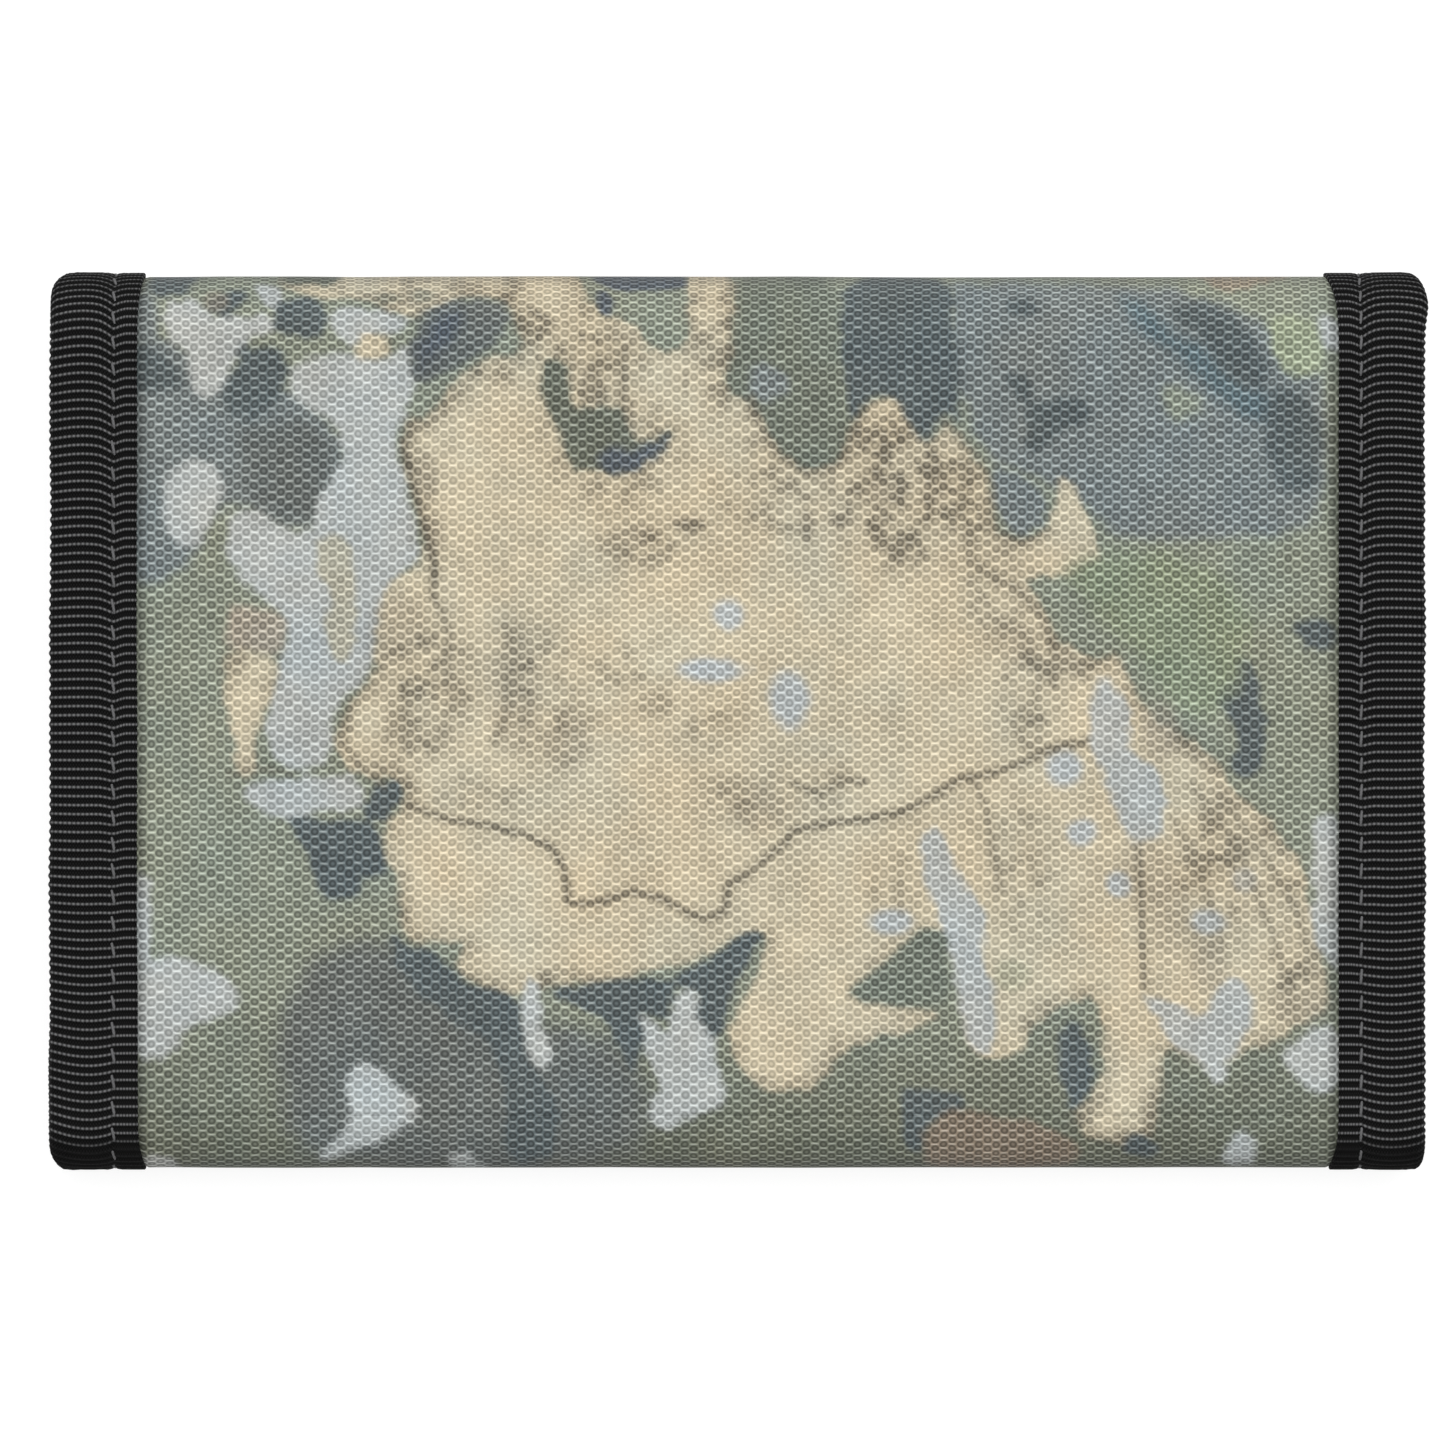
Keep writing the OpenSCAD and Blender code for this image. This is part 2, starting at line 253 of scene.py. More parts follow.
STITCH = rod_template([(-1.0, 0, -0.10, 0.05), (-0.86, 0, 0.0, 0.12), (-0.4, 0, 0.07, 0.15),
                       (0.4, 0, 0.07, 0.15), (0.86, 0, 0.0, 0.12), (1.0, 0, -0.10, 0.05)])


def stitch_frames(starts, ends, normals, thick=1.0):
    """Frames that lay one stitch from each start to each end."""
    frames = []
    for p, q, n in zip(starts, ends, normals):
        along = (q - p) / 2
        across = np.cross(n, along)
        across = across / np.linalg.norm(across)
        frames.append(((p + q) / 2, along, across * thick, n * thick))
    return frames


# ---------------------------------------------------------------- materials
class Nodes:
    """A node material with short ways to add maths."""

    def __init__(self, name, rough, **sockets):
        self.material = bpy.data.materials.new(name)
        self.material.use_nodes = True
        self.tree = self.material.node_tree
        self.shader = self.tree.nodes["Principled BSDF"]
        self.shader.inputs["Roughness"].default_value = rough
        for key, value in sockets.items():
            self.shader.inputs[key.replace("_", " ")].default_value = value

    def new(self, kind, **settings):
        node = self.tree.nodes.new(kind)
        for key, value in settings.items():
            setattr(node, key, value)
        return node

    def set(self, socket, value):
        if isinstance(value, bpy.types.NodeSocket):
            self.tree.links.new(value, socket)
        else:
            socket.default_value = value

    def do(self, operation, *values):
        node = self.new("ShaderNodeMath", operation=operation)
        for socket, value in zip(node.inputs, values):
            self.set(socket, value)
        return node.outputs[0]

    def uv(self):
        split = self.new("ShaderNodeSeparateXYZ")
        self.tree.links.new(self.new("ShaderNodeUVMap", uv_map="UVMap").outputs[0], split.inputs[0])
        return split.outputs[0], split.outputs[1]

    def point(self, x, y, z=0.0):
        join = self.new("ShaderNodeCombineXYZ")
        for socket, value in zip(join.inputs, (x, y, z)):
            self.set(socket, value)
        return join.outputs[0]

    def cloud(self, where, scale, detail=2.0):
        node = self.new("ShaderNodeTexNoise")
        self.set(node.inputs["Vector"], where)
        node.inputs["Scale"].default_value = scale
        node.inputs["Detail"].default_value = detail
        return node.outputs[0]

    def ramp(self, value, stops):
        node = self.new("ShaderNodeValToRGB")
        self.set(node.inputs[0], value)
        bar = node.color_ramp
        while len(bar.elements) < len(stops):
            bar.elements.new(0.5)
        for element, (at, tone) in zip(bar.elements, stops):
            element.position = at
            element.color = (*tone, 1) if hasattr(tone, "__len__") else (tone, tone, tone, 1)
        return node.outputs[0]

    def mix(self, blend, factor, a, b):
        node = self.new("ShaderNodeMix", data_type="RGBA", blend_type=blend)
        self.set(node.inputs[0], factor)
        self.set(node.inputs[6], a)
        self.set(node.inputs[7], b)
        return node.outputs[2]

    def colour(self, value):
        self.set(self.shader.inputs["Base Color"], value)

    def rough(self, value):
        self.set(self.shader.inputs["Roughness"], value)

    def bump(self, height, strength, distance):
        node = self.new("ShaderNodeBump")
        node.inputs["Strength"].default_value = strength
        node.inputs["Distance"].default_value = distance / 1000
        self.set(node.inputs["Height"], height)
        self.set(self.shader.inputs["Normal"], node.outputs[0])


WEAVE_X = 0.815
WEAVE_Y = 0.488
DOT_X = 0.37
DOT_Y = 0.36


def printed_fabric():
    """Plain weave: round dark ends of the upright yarns between bright dashes of the level ones. The dark
    round each yarn end is painted shade in the gaps, and the bright dashes are painted highlights.
    """
    m = Nodes("printed_fabric", 0.8, Specular_IOR_Level=0.25, Sheen_Weight=0.04, Sheen_Roughness=0.5)
    u, v = m.uv()
    where = m.point(u, v)
    sway = m.do("SUBTRACT", m.cloud(where, 0.35), 0.5)
    sway_b = m.do("SUBTRACT", m.cloud(m.point(v, u, 7.0), 0.4), 0.5)
    x = m.do("ADD", m.do("DIVIDE", u, WEAVE_X), m.do("MULTIPLY", sway, 0.5))
    y = m.do("ADD", m.do("DIVIDE", v, WEAVE_Y), m.do("MULTIPLY", sway_b, 1.0))
    cx = m.do("COSINE", m.do("MULTIPLY", x, PI))
    cy = m.do("COSINE", m.do("MULTIPLY", y, PI))
    ax = m.do("ABSOLUTE", cx)
    ay = m.do("ABSOLUTE", cy)
    over = m.do("GREATER_THAN", m.do("MULTIPLY", cx, cy), 0.0)
    dash = m.do("MULTIPLY", m.do("POWER", ax, 0.45), m.do("POWER", ay, 3.0))
    dash = m.do("MULTIPLY", over, dash)
    # Distance from the nearest dark yarn end: across, and along its column
    dx = m.do("DIVIDE", m.do("ARCCOSINE", ax), PI)
    dy = m.do("DIVIDE", m.do("ARCCOSINE", ay), PI)
    dy = m.do("ADD", m.do("MULTIPLY", over, m.do("SUBTRACT", 1.0, m.do("MULTIPLY", dy, 2.0))), dy)
    dx = m.do("MULTIPLY", dx, WEAVE_X / DOT_X)
    dy = m.do("MULTIPLY", dy, WEAVE_Y / DOT_Y)
    far = m.do("SQRT", m.do("ADD", m.do("MULTIPLY", dx, dx), m.do("MULTIPLY", dy, dy)))
    far = m.do("DIVIDE", far, 1.6)
    cell = m.new("ShaderNodeTexWhiteNoise")
    m.set(cell.inputs["Vector"], m.point(m.do("ROUND", x), m.do("ROUND", y)))
    # Painted shade: dark in the gaps round each yarn end, lighter between them.
    tone = m.ramp(far, [(0.0, 0.98), (0.18, 0.84), (0.4, 0.42), (0.55, 0.44), (0.68, 0.92),
                        (0.81, 1.06), (1.0, 1.1)])
    # Painted highlight: the dashes of the level yarns are brightened.
    tone = m.mix("MULTIPLY", 1.0, tone, m.do("ADD", m.do("MULTIPLY", dash, 0.72), 1.0))
    uneven = m.do("ADD", m.do("MULTIPLY", cell.outputs[0], 0.22), 0.89)
    cloudy = m.do("ADD", m.do("MULTIPLY", m.cloud(where, 0.6, 3.0), 0.3), 0.86)
    tone = m.mix("MULTIPLY", 1.0, tone, m.do("MULTIPLY", uneven, cloudy))
    # The vertex colour holds the print with painted shade at the folds, towards the bottom and beside the
    # ribbons.
    dye_and_painted_light = m.new("ShaderNodeVertexColor", layer_name="print").outputs[0]
    # The weave's painted shade and highlights show less in the pale colours
    split = m.new("ShaderNodeSeparateColor")
    m.set(split.inputs[0], dye_and_painted_light)
    pale = m.do("MULTIPLY", m.do("MAXIMUM", m.do("SUBTRACT", split.outputs[1], 0.27), 0.0), 1.4)
    tone = m.mix("MIX", pale, tone, (0.92, 0.92, 0.92, 1))
    # Painted highlight: the tops of the dashes turn a pale grey.
    painted_highlight = m.do("MULTIPLY", m.do("POWER", dash, 1.5), 0.2)
    dye_and_painted_light = m.mix("MIX", painted_highlight, dye_and_painted_light, (0.5, 0.52, 0.5, 1))
    m.colour(m.mix("MULTIPLY", 1.0, dye_and_painted_light, tone))
    dome = m.do("MAXIMUM", m.do("SUBTRACT", 1.0, m.do("MULTIPLY", far, 1.9)), 0.0)
    m.bump(m.do("ADD", m.do("MULTIPLY", dome, 0.7), dash), 0.7, 0.11)
    return m.material


WARP_PITCH = 0.27
WEFT_STRAND = 0.42


def ribbon_cloth():
    """Grosgrain: bright weft lines on the ribs and fine dotted warp between them. The lines are the weft
    threads' own grey with a painted highlight on the lit rib crests.
    """
    m = Nodes("black_ribbon", 0.75, Specular_IOR_Level=0.06)
    u, v = m.uv()
    rib = m.do("MULTIPLY", v, 2 * PI / RIB)
    crest = m.do("COSINE", rib)
    warp = m.do("COSINE", m.do("MULTIPLY", u, 2 * PI / WARP_PITCH))
    half = m.do("COSINE", m.do("MULTIPLY", v, 4 * PI / RIB))
    dots = m.do("MULTIPLY", warp, half)
    strand = m.do("COSINE", m.do("MULTIPLY", u, 2 * PI / WEFT_STRAND))
    thread = m.do("ADD", m.do("MULTIPLY", strand, 0.4), 0.66)
    uneven = m.do("ADD", m.do("MULTIPLY", m.cloud(m.point(u, v), 0.5, 3.0), 0.6), 0.7)
    # The bright lines: the weft threads' grey on the rib crests, with a painted highlight where the crests
    # catch the light.
    line = m.do("POWER", m.do("MAXIMUM", crest, 0.0), 2.6)
    line = m.do("MULTIPLY", m.do("MULTIPLY", line, thread), uneven)
    # Painted shade: the lines darken where the ribbon turns over the folds, most at the bottom fold
    for fold, least, near, far in ((S_TOP, 0.65, 4.0, 8.5), (S_LOW, 0.05, 4.6, 6.2)):
        away = m.do("ABSOLUTE", m.do("SUBTRACT", v, fold))
        fold_shade = m.new("ShaderNodeMapRange", interpolation_type="SMOOTHSTEP")
        for socket, value in zip(fold_shade.inputs[:5], (away, near, far, least, 1.0)):
            m.set(socket, value)
        line = m.do("MULTIPLY", line, fold_shade.outputs[0])
    base = m.ramp(m.do("ADD", m.do("MULTIPLY", dots, 0.5), 0.5), [(0.0, 0.001), (0.55, 0.004), (1.0, 0.014)])
    m.colour(m.mix("MIX", line, base, (0.175, 0.175, 0.178, 1)))
    m.bump(m.do("ADD", m.do("MULTIPLY", dots, 0.3), line), 0.5, 0.06)
    return m.material


def woven(name, colour, pitch, rough, contrast=0.35, **sockets):
    """A fine plain cloth of one colour."""
    m = Nodes(name, rough, **sockets)
    u, v = m.uv()
    cx = m.do("COSINE", m.do("MULTIPLY", u, 2 * PI / pitch))
    cy = m.do("COSINE", m.do("MULTIPLY", v, 2 * PI / pitch))
    level = m.do("ADD", m.do("MULTIPLY", m.do("MULTIPLY", cx, cy), 0.5), 0.5)
    cloudy = m.do("ADD", m.do("MULTIPLY", m.cloud(m.point(u, v), 0.25, 3.0), 0.5), 0.75)
    tone = m.do("MULTIPLY", m.do("ADD", m.do("MULTIPLY", level, contrast), 1 - contrast / 2), cloudy)
    m.colour(m.mix("MULTIPLY", 1.0, (*colour, 1), tone))
    m.bump(level, 0.5, pitch * 0.15)
    return m.material


def herringbone():
    """Zip tape: narrow columns of slanted yarns that turn from column to column."""
    m = Nodes("zip_tape", 0.75, Specular_IOR_Level=0.15)
    u, v = m.uv()
    side = m.do("PINGPONG", v, 0.8)
    yarn = m.do("COSINE", m.do("MULTIPLY", m.do("ADD", u, m.do("MULTIPLY", side, 1.0)), 2 * PI / 0.4))
    level = m.do("ADD", m.do("MULTIPLY", yarn, 0.5), 0.5)
    m.colour(m.ramp(level, [(0.0, 0.006), (0.6, 0.014), (1.0, 0.03)]))
    m.bump(level, 0.6, 0.06)
    return m.material


def speckled(name, dark, light, scale, rough, bump=0.03, **sockets):
    """A plain surface with fine uneven colour, roughness and relief."""
    m = Nodes(name, rough, **sockets)
    where = m.new("ShaderNodeTexCoord").outputs["UV"]
    fine = m.cloud(where, scale, 4.0)
    m.colour(m.ramp(fine, [(0.3, dark), (0.7, light)]))
    m.rough(m.do("ADD", m.do("MULTIPLY", fine, 0.2), rough - 0.1))
    m.bump(fine, 0.4, bump)
    return m.material


RIB = 0.84
FABRIC = printed_fabric()
RIBBON = ribbon_cloth()
LINING = woven("lining", (0.024, 0.024, 0.027), 0.32, 0.55, Specular_IOR_Level=0.3)
BOARD = speckled("stiffener_board", (0.5, 0.5, 0.48), (0.6, 0.6, 0.58), 1.2, 0.5)
HOOKS = speckled("hook_tape", (0.014, 0.014, 0.015), (0.03, 0.03, 0.032), 2.0, 0.5)
LOOPS = speckled("loop_tape", (0.014, 0.014, 0.015), (0.04, 0.04, 0.042), 3.0, 0.9, 0.08, Sheen_Weight=0.3)
TAPE = herringbone()
COIL = speckled("zip_coil", (0.02, 0.02, 0.022), (0.035, 0.035, 0.037), 1.5, 0.4)
NICKEL = speckled("nickel_zip", (0.52, 0.52, 0.5), (0.66, 0.66, 0.64), 0.8, 0.28, 0.01, Metallic=1.0)
THREAD = woven("thread", (0.13, 0.13, 0.133), 0.3, 0.7, Specular_IOR_Level=0.2)
VINYL = speckled("clear_vinyl", (0.86, 0.89, 0.9), (0.9, 0.93, 0.94), 0.1, 0.16, 0.02,
                 Transmission_Weight=0.96, IOR=1.45)


def dress(piece, material):
    piece.data.materials.append(material)
    return piece


def bend(piece):
    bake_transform(piece)
    return piece


# ---------------------------------------------------------------- the print, with painted shade
SAGE = (0.285, 0.312, 0.243)
# The base sage darkened as painted shade, used towards the bottom of the face
SAGE_SHADED = (0.178, 0.193, 0.146)
SLATE = (0.215, 0.245, 0.243)
SLATE_LOW = (0.158, 0.174, 0.165)
DARK = (0.118, 0.145, 0.15)
DARK_SAGE = (0.2, 0.225, 0.18)
NAVY = (0.11, 0.132, 0.155)
LIGHT = (0.49, 0.515, 0.5)
PALE = (0.46, 0.52, 0.56)
CREAM = (0.645, 0.57, 0.41)
YELLOW = (0.50, 0.48, 0.38)
PINK = (0.42, 0.375, 0.30)
TAN = (0.33, 0.285, 0.215)
GREEN = (0.36, 0.40, 0.27)
BROWN = (0.184, 0.162, 0.119)
RUST = (0.25, 0.205, 0.155)
MOSS = (0.275, 0.32, 0.215)
TEAL = (0.13, 0.185, 0.205)
OLIVE = (0.165, 0.18, 0.14)

# Each patch is its colour, how soft its edge is, and its outline as x, y pairs
PATCHES = [
    (SLATE, 0.9, "22,42 40,42 50,38 56,33 56,18 45,17 36,17 33,20 29,23 24,24 22,29 20,33 20,42"),
    (SLATE, 0.9, "-58,37 -53,36 -49,33 -44,32 -40,30 -38,28 -37,25 -40,18 -43,18.5 -47,20.5 -50,19 -52,14"
                 " -55,13 -58,13"),
    (DARK, 0.7, "-58,36 -55,35.5 -53,33.5 -52,31.5 -54,31 -58,31.5"),
    (SLATE_LOW, 1.2, "-47,28 -41,28.5 -38,26.5 -38.5,22 -39.5,18.5 -43,19 -47,22"),
    (SLATE_LOW, 1.8, "-41,-22 -33,-20 -28,-27 -9,-30 -8,-43 -42,-43 -44,-30"),
    (DARK_SAGE, 0.8, "0,43 10,43 10,30 11,27.5 10,24 7,23 4,25.5 2,27.5 1,30 -1,31 -2,32.5 -1,35 0,38"),
    (LIGHT, 0.5, "-54.5,40 -51,40.5 -49,38 -45,39 -43.5,37.5 -46,36 -48,33 -49.5,30.5 -51.5,31"
                 " -52,34.5 -54,36"),
    (LIGHT, 0.4, "-46,41.5 -43,41 -44,39"),
    (LIGHT, 0.5, "-42.5,33 -40,34.5 -33,34 -31,36 -30.5,31 -32,27.5 -31.8,23 -30,17 -30.5,15 -33.5,12.5"
                 " -34.2,7 -35,4 -37.5,1.5 -38.5,-1.5 -38.5,-4.5 -42,-5 -44.5,-3 -44.5,1 -43,5.5 -42.5,10.5"
                 " -46,12 -48.3,16 -48.3,19.5 -45.5,20 -43.5,18.3 -40,18 -39.5,22 -37,24 -37.5,27.5 -40,29"
                 " -42.5,31"),
    (LIGHT, 0.5, "-54,24 -51.5,25 -49,24 -48.5,21 -50,18.5 -51.5,16.2 -53.5,17 -54.5,20"),
    (LIGHT, 0.5, "-46.5,-6 -43,-5.5 -38,-5 -35,-6 -35.5,-8.2 -39,-8.8 -44,-9.2 -46.3,-8"),
    (LIGHT, 0.5, "-57.5,-14 -55,-15 -55.5,-19 -55.8,-22.5 -52,-22.5 -48,-24 -46.8,-26.5 -48.5,-28"
                 " -51.5,-28.5 -53.5,-31.5 -57.5,-32"),
    (LIGHT, 0.5, "-57,-41.3 -53.5,-41.5 -52.5,-43 -57,-43"),
    (LIGHT, 0.5, "-27.5,-41 -25.5,-41.2 -23.5,-43 -27.5,-43"),
    (LIGHT, 0.5, "-37,-32.5 -35,-32 -32,-34 -29.5,-36.5 -32,-39 -36,-41 -40,-42 -38,-40 -36.5,-37"),
    (LIGHT, 0.5, "-38.5,39 -35,39.3 -31.5,38.5 -31,37 -34,36.5 -36,35.5 -38.5,36.5"),
    (LIGHT, 0.5, "51,-32 53,-29.5 57.5,-29 57.5,-34.5 54,-35"),
    (LIGHT, 0.5, "46,-40.5 47.5,-38.5 49,-39.5 49.5,-42 46.5,-42.5"),
    (CREAM, 0.45, "-29,29 -31.5,28 -31.8,26 -30.5,22 -29.5,18.5 -29.5,15 -33,13 -34,8 -34.5,4 -37,1.5"
                  " -38,-1.5 -37,-4 -35,-5 -32,-5.5 -31,-7 -33,-10 -33.8,-13 -32,-15 -32,-19 -31,-21 -28,-21"
                  " -25.5,-20.8 -26.5,-22.5 -26,-24.5 -21,-26 -18,-25 -13,-24.5 -9,-24 -5,-23 -2,-21.5 .5,-20"
                  " 3,-20 2,-24 .5,-26.5 -1,-29 -.5,-32 2,-35 5,-35.2 8,-34 10,-31 13,-30 16,-30 18,-28.5"
                  " 19,-27.5 15.5,-27 12,-26 10.5,-25.3 13,-23.8 15.5,-21.5 17.5,-19.5 19.5,-20 20,-22 21,-27"
                  " 22,-31 24,-32 26.5,-31.5 28,-28.5 30,-27 33.5,-25.7 34.5,-28 34.5,-33 33.5,-35.5 32,-37.5"
                  " 33,-39.5 37,-40.2 39.5,-39.5 39.8,-35 40.5,-32 41,-30.5 43,-32 45,-33.5 48.5,-30.5 50,-31"
                  " 53,-29 56,-26 55.5,-22 54,-19 53.5,-14 51.5,-11 48.5,-8 46,-6 45,-3.5 42.5,-1.5 40.5,-1"
                  " 37,3 36,6.5 34,5.5 32,6.5 30,8 29,11 26.5,13.5 29,14 32,13.5 34.5,14.5 34.3,17 33,20"
                  " 31,23 30,21 29.5,18 27,17 24.5,18 24,22 22.5,25 20.5,27.5 19.5,28 18,26 16.5,27.5"
                  " 15.5,30.5 13,30.5 11.5,28.5 10,25 7,23.2 4,25.3 2.3,27.5 1.5,29.5 -.5,30.5 -1.5,32.5"
                  " -.3,35 -.5,38 -.5,44 -4.5,44 -4.5,36 -6,34.8 -9,35.5 -10,37.5 -13,38.5 -14.5,41.5"
                  " -16,44 -22,44 -22,40.5 -20.5,38 -20,35.5 -22,34.5 -25,33.5 -27,32"),
    (CREAM, 0.45, "-43,44 -22,44 -22,40.3 -24.5,40.5 -27,40.3 -29,38.8 -32,38.8 -34,40 -43,40.8"),
    (CREAM, 0.45, "-35.5,37 -33,36.5 -32.8,34.8 -34.5,34.2 -36,35"),
    (YELLOW, 0.5, "-40,17.5 -37,17.8 -36,16 -36,11 -36.5,6 -38,5.5 -39,8 -38.5,12 -40,15"),
    (PINK, 0.6, "-48.5,10.5 -45,10.8 -42.5,9.5 -43,6 -48.5,6.5"),
    (CREAM, 0.5, "-48.5,6.5 -46,7 -43.5,6 -44,2 -45.5,-1 -45.5,-5 -47,-5.5 -48,-1 -48.5,3"),
    (LIGHT, 0.5, "-10,-27 -8,-28.5 -6.5,-29.5 -5.8,-26 -4,-25 -3.5,-28 -2,-30 -1.5,-33 -1,-35.5 -3.5,-37.5"
                 " -7,-39 -8.3,-37.5 -7.5,-33.5 -9,-30"),
    (LIGHT, 0.5, "-20,-24 -18.7,-25 -18.5,-29 -17.3,-31.5 -18.5,-33 -20.2,-31.5 -20.5,-28"),
    (LIGHT, 0.5, "17,-10.5 19.5,-10 20.5,-14 23.5,-18 23,-22 25,-28 24,-31.5 22,-31 20.5,-26"
                 " 19.5,-20 18,-15"),
    (LIGHT, 0.5, "33.5,3.5 35.5,4 37,1 37,-3 40.5,-5.5 40.5,-11.5 37,-11.5 36,-8 34,-4.5 33,-.5"),
    (LIGHT, 0.5, "38,-26 40,-26 44,-28.5 45,-26 47,-24 48.5,-25 49,-29 46.5,-32 45.5,-34.3"
                 " 43.5,-32.5 41,-30"),
    (LIGHT, 0.5, "54.5,-9 57.5,-9 57.5,-24 55,-22 54.5,-15"),
    (DARK, 0.6, "-47,36 -43.5,35 -42,33 -43,30.5 -45,28.5 -47.5,28.5 -49,30 -47.5,33.5"),
    (DARK, 0.5, "-43,40.2 -40,40.5 -38.8,38.5 -39,36 -41,36.2 -43.8,37.2"),
    (OLIVE, 0.5, "-18.5,34 -16.7,34.3 -15.9,32 -15.4,29.3 -14,30 -10.5,30 -10,27 -9,26.3 -6.3,27.8 -5.8,26.8"
                 " -7.5,25 -10,23.5 -13,23.5 -15.8,24 -17,27 -18.3,31"),
    (NAVY, 0.6, "-13.5,25.6 -9,25.8 -6.5,27.3 -6.2,26.6 -8,24.6 -10,23.6 -13,23.7"),
    (DARK, 0.6, "9.8,43 21,43 20.5,34 21.5,28 19.5,29 18,26 16.2,28.5 15.5,30.5 13,30.8 11,28.5 10,30 10,35"),
    (DARK, 0.5, "-43,-9.5 -39,-9 -35,-9.5 -33.5,-12 -32.5,-15 -35.5,-14.5 -36,-17 -39,-17 -40,-14"),
    (DARK, 0.4, "-34.5,-6 -32.5,-5.5 -31.5,-7 -33.5,-9.5 -35.5,-8.5"),
    (DARK, 0.5, "-33,-20 -31,-21.5 -28,-21.5 -26.5,-24 -24,-25.5 -21,-26 -20.3,-30 -19,-34 -16.5,-36 -17,-42"
                " -22,-42 -22,-36 -23,-31 -27,-28.5 -31,-25"),
    (DARK, 0.45, "-18.5,-25.5 -14,-25 -9.5,-24.3 -5,-24 -1.5,-22 .5,-20 3,-20 1,-22.5 0,-25 -1,-28.5 -2,-30"
                 " -3.5,-28 -3,-25.5 -6,-25 -6.5,-28.5 -9,-27.5 -10,-28.5 -10.5,-31 -11.5,-29"),
    (DARK, 0.45, "-11.5,-25 -9.5,-25 -9,-31 -10,-34 -11,-31 -12,-28"),
    (DARK, 0.45, "46.5,6 48.5,6 49.5,3 50,-1 49.5,-4 48,-5.5 46.5,-4.5 47.5,-1 45.5,1.5 45,2.5 46,4.5"),
    (DARK, 0.5, "53,9.5 56.5,9.5 56.5,7 54,6.5 53,8"),
    (DARK, 0.5, "30.5,-29.5 32,-28.5 33.5,-30.5 34.2,-33.5 33,-35.5 31.5,-36.5 30.3,-33.5"),
    (DARK, 0.5, "15.5,-35 17,-34.8 21.5,-35.5 21,-37 18,-38 17.5,-41 16,-41 15.8,-38"),
    (DARK, 0.5, "37,-39.5 38.5,-39 40,-40.3 39,-41.5 36.5,-41"),
    (TEAL, 1.2, "36,40.5 39,40 41,37 44,36 47,32 51,31 52,28 49,28 45,30.5 43,33 40,35.5 37,38.5"),
    (DARK, 0.8, "41,39.5 44,40.3 47,38.5 49.5,36 50.5,32 49,31 46,33 44,36 41.5,37.5"),
    (DARK, 0.8, "50,31.5 54,31 55.5,27 55,22 52,21.5 50.5,24 49.5,28"),
    (DARK_SAGE, 1.0, "56,30 58,30 58,17 56,17"),
    (MOSS, 1.5, "30,14.5 37,16.5 44,15 49,10 47,3 44,0 41,2 38,6 34,10"),
    (SAGE, 1.0, "40,31.5 44,31 44.5,28.8 41,28.5"),
    (LIGHT, 0.5, "55,38.5 57.5,38 57.5,34.8 55.3,35.5"),
    (DARK, 0.5, "25,40.5 28.5,40 28,38.3 25.5,38.3"),
    (DARK, 0.5, "25,33 27.5,32.5 28.5,30 32,30.5 34,29.5 33.5,28 30,27.5 29,25.5 27.5,25.5 27.5,28.5 26,31"),
    (SLATE, 0.5, "24.5,24.5 29,22.5 29.5,19 27,17 25,18 24,21"),
    (DARK_SAGE, 0.5, "12,-24.5 16,-21 17.5,-19.5 19.5,-20 20,-22 20.5,-26 18.5,-27 14,-27 10,-26"),
    (DARK, 0.5, "-56,43 -50,43 -52,40.5 -56,40"),
    (DARK, 0.5, "-51,40.5 -46,41 -47,39 -50,38.5"),
    (OLIVE, 0.5, "-43,43 -37,43 -38,41.6 -43,41.5"),
    (SLATE_LOW, 0.5, "-31,37.5 -27,40.3 -24,40.5 -21.5,39.5 -22,37 -24,35 -27,33 -30,31.5 -31,34"),
    (NAVY, 1.2, "-30,36.5 -27,39 -25.5,39 -27,36.5 -29.5,33 -30.5,34"),
    (SLATE, 0.8, "-58,41.5 -54.5,41 -55,36 -58,36"),
    (NAVY, 0.3, "-13.7,41.5 -12,41 -12,38.5 -13,38.5"),
    (NAVY, 0.3, "-15,43 -5,43 -5,41 -13,41"),
    (TAN, 0.5, "42,43 54,43 48,41 45,41.5"),
    (GREEN, 0.6, "50,38.5 54.5,38.5 55.5,33 52.5,32.3 50.5,35"),
    (SLATE, 0.6, "1,34 4.5,33.5 5.5,31 3,30 1,31"),
    (RUST, 0.6, "17.5,-39 19.5,-37.2 24,-37 28,-38 33,-40.5 30,-43 18,-43")]

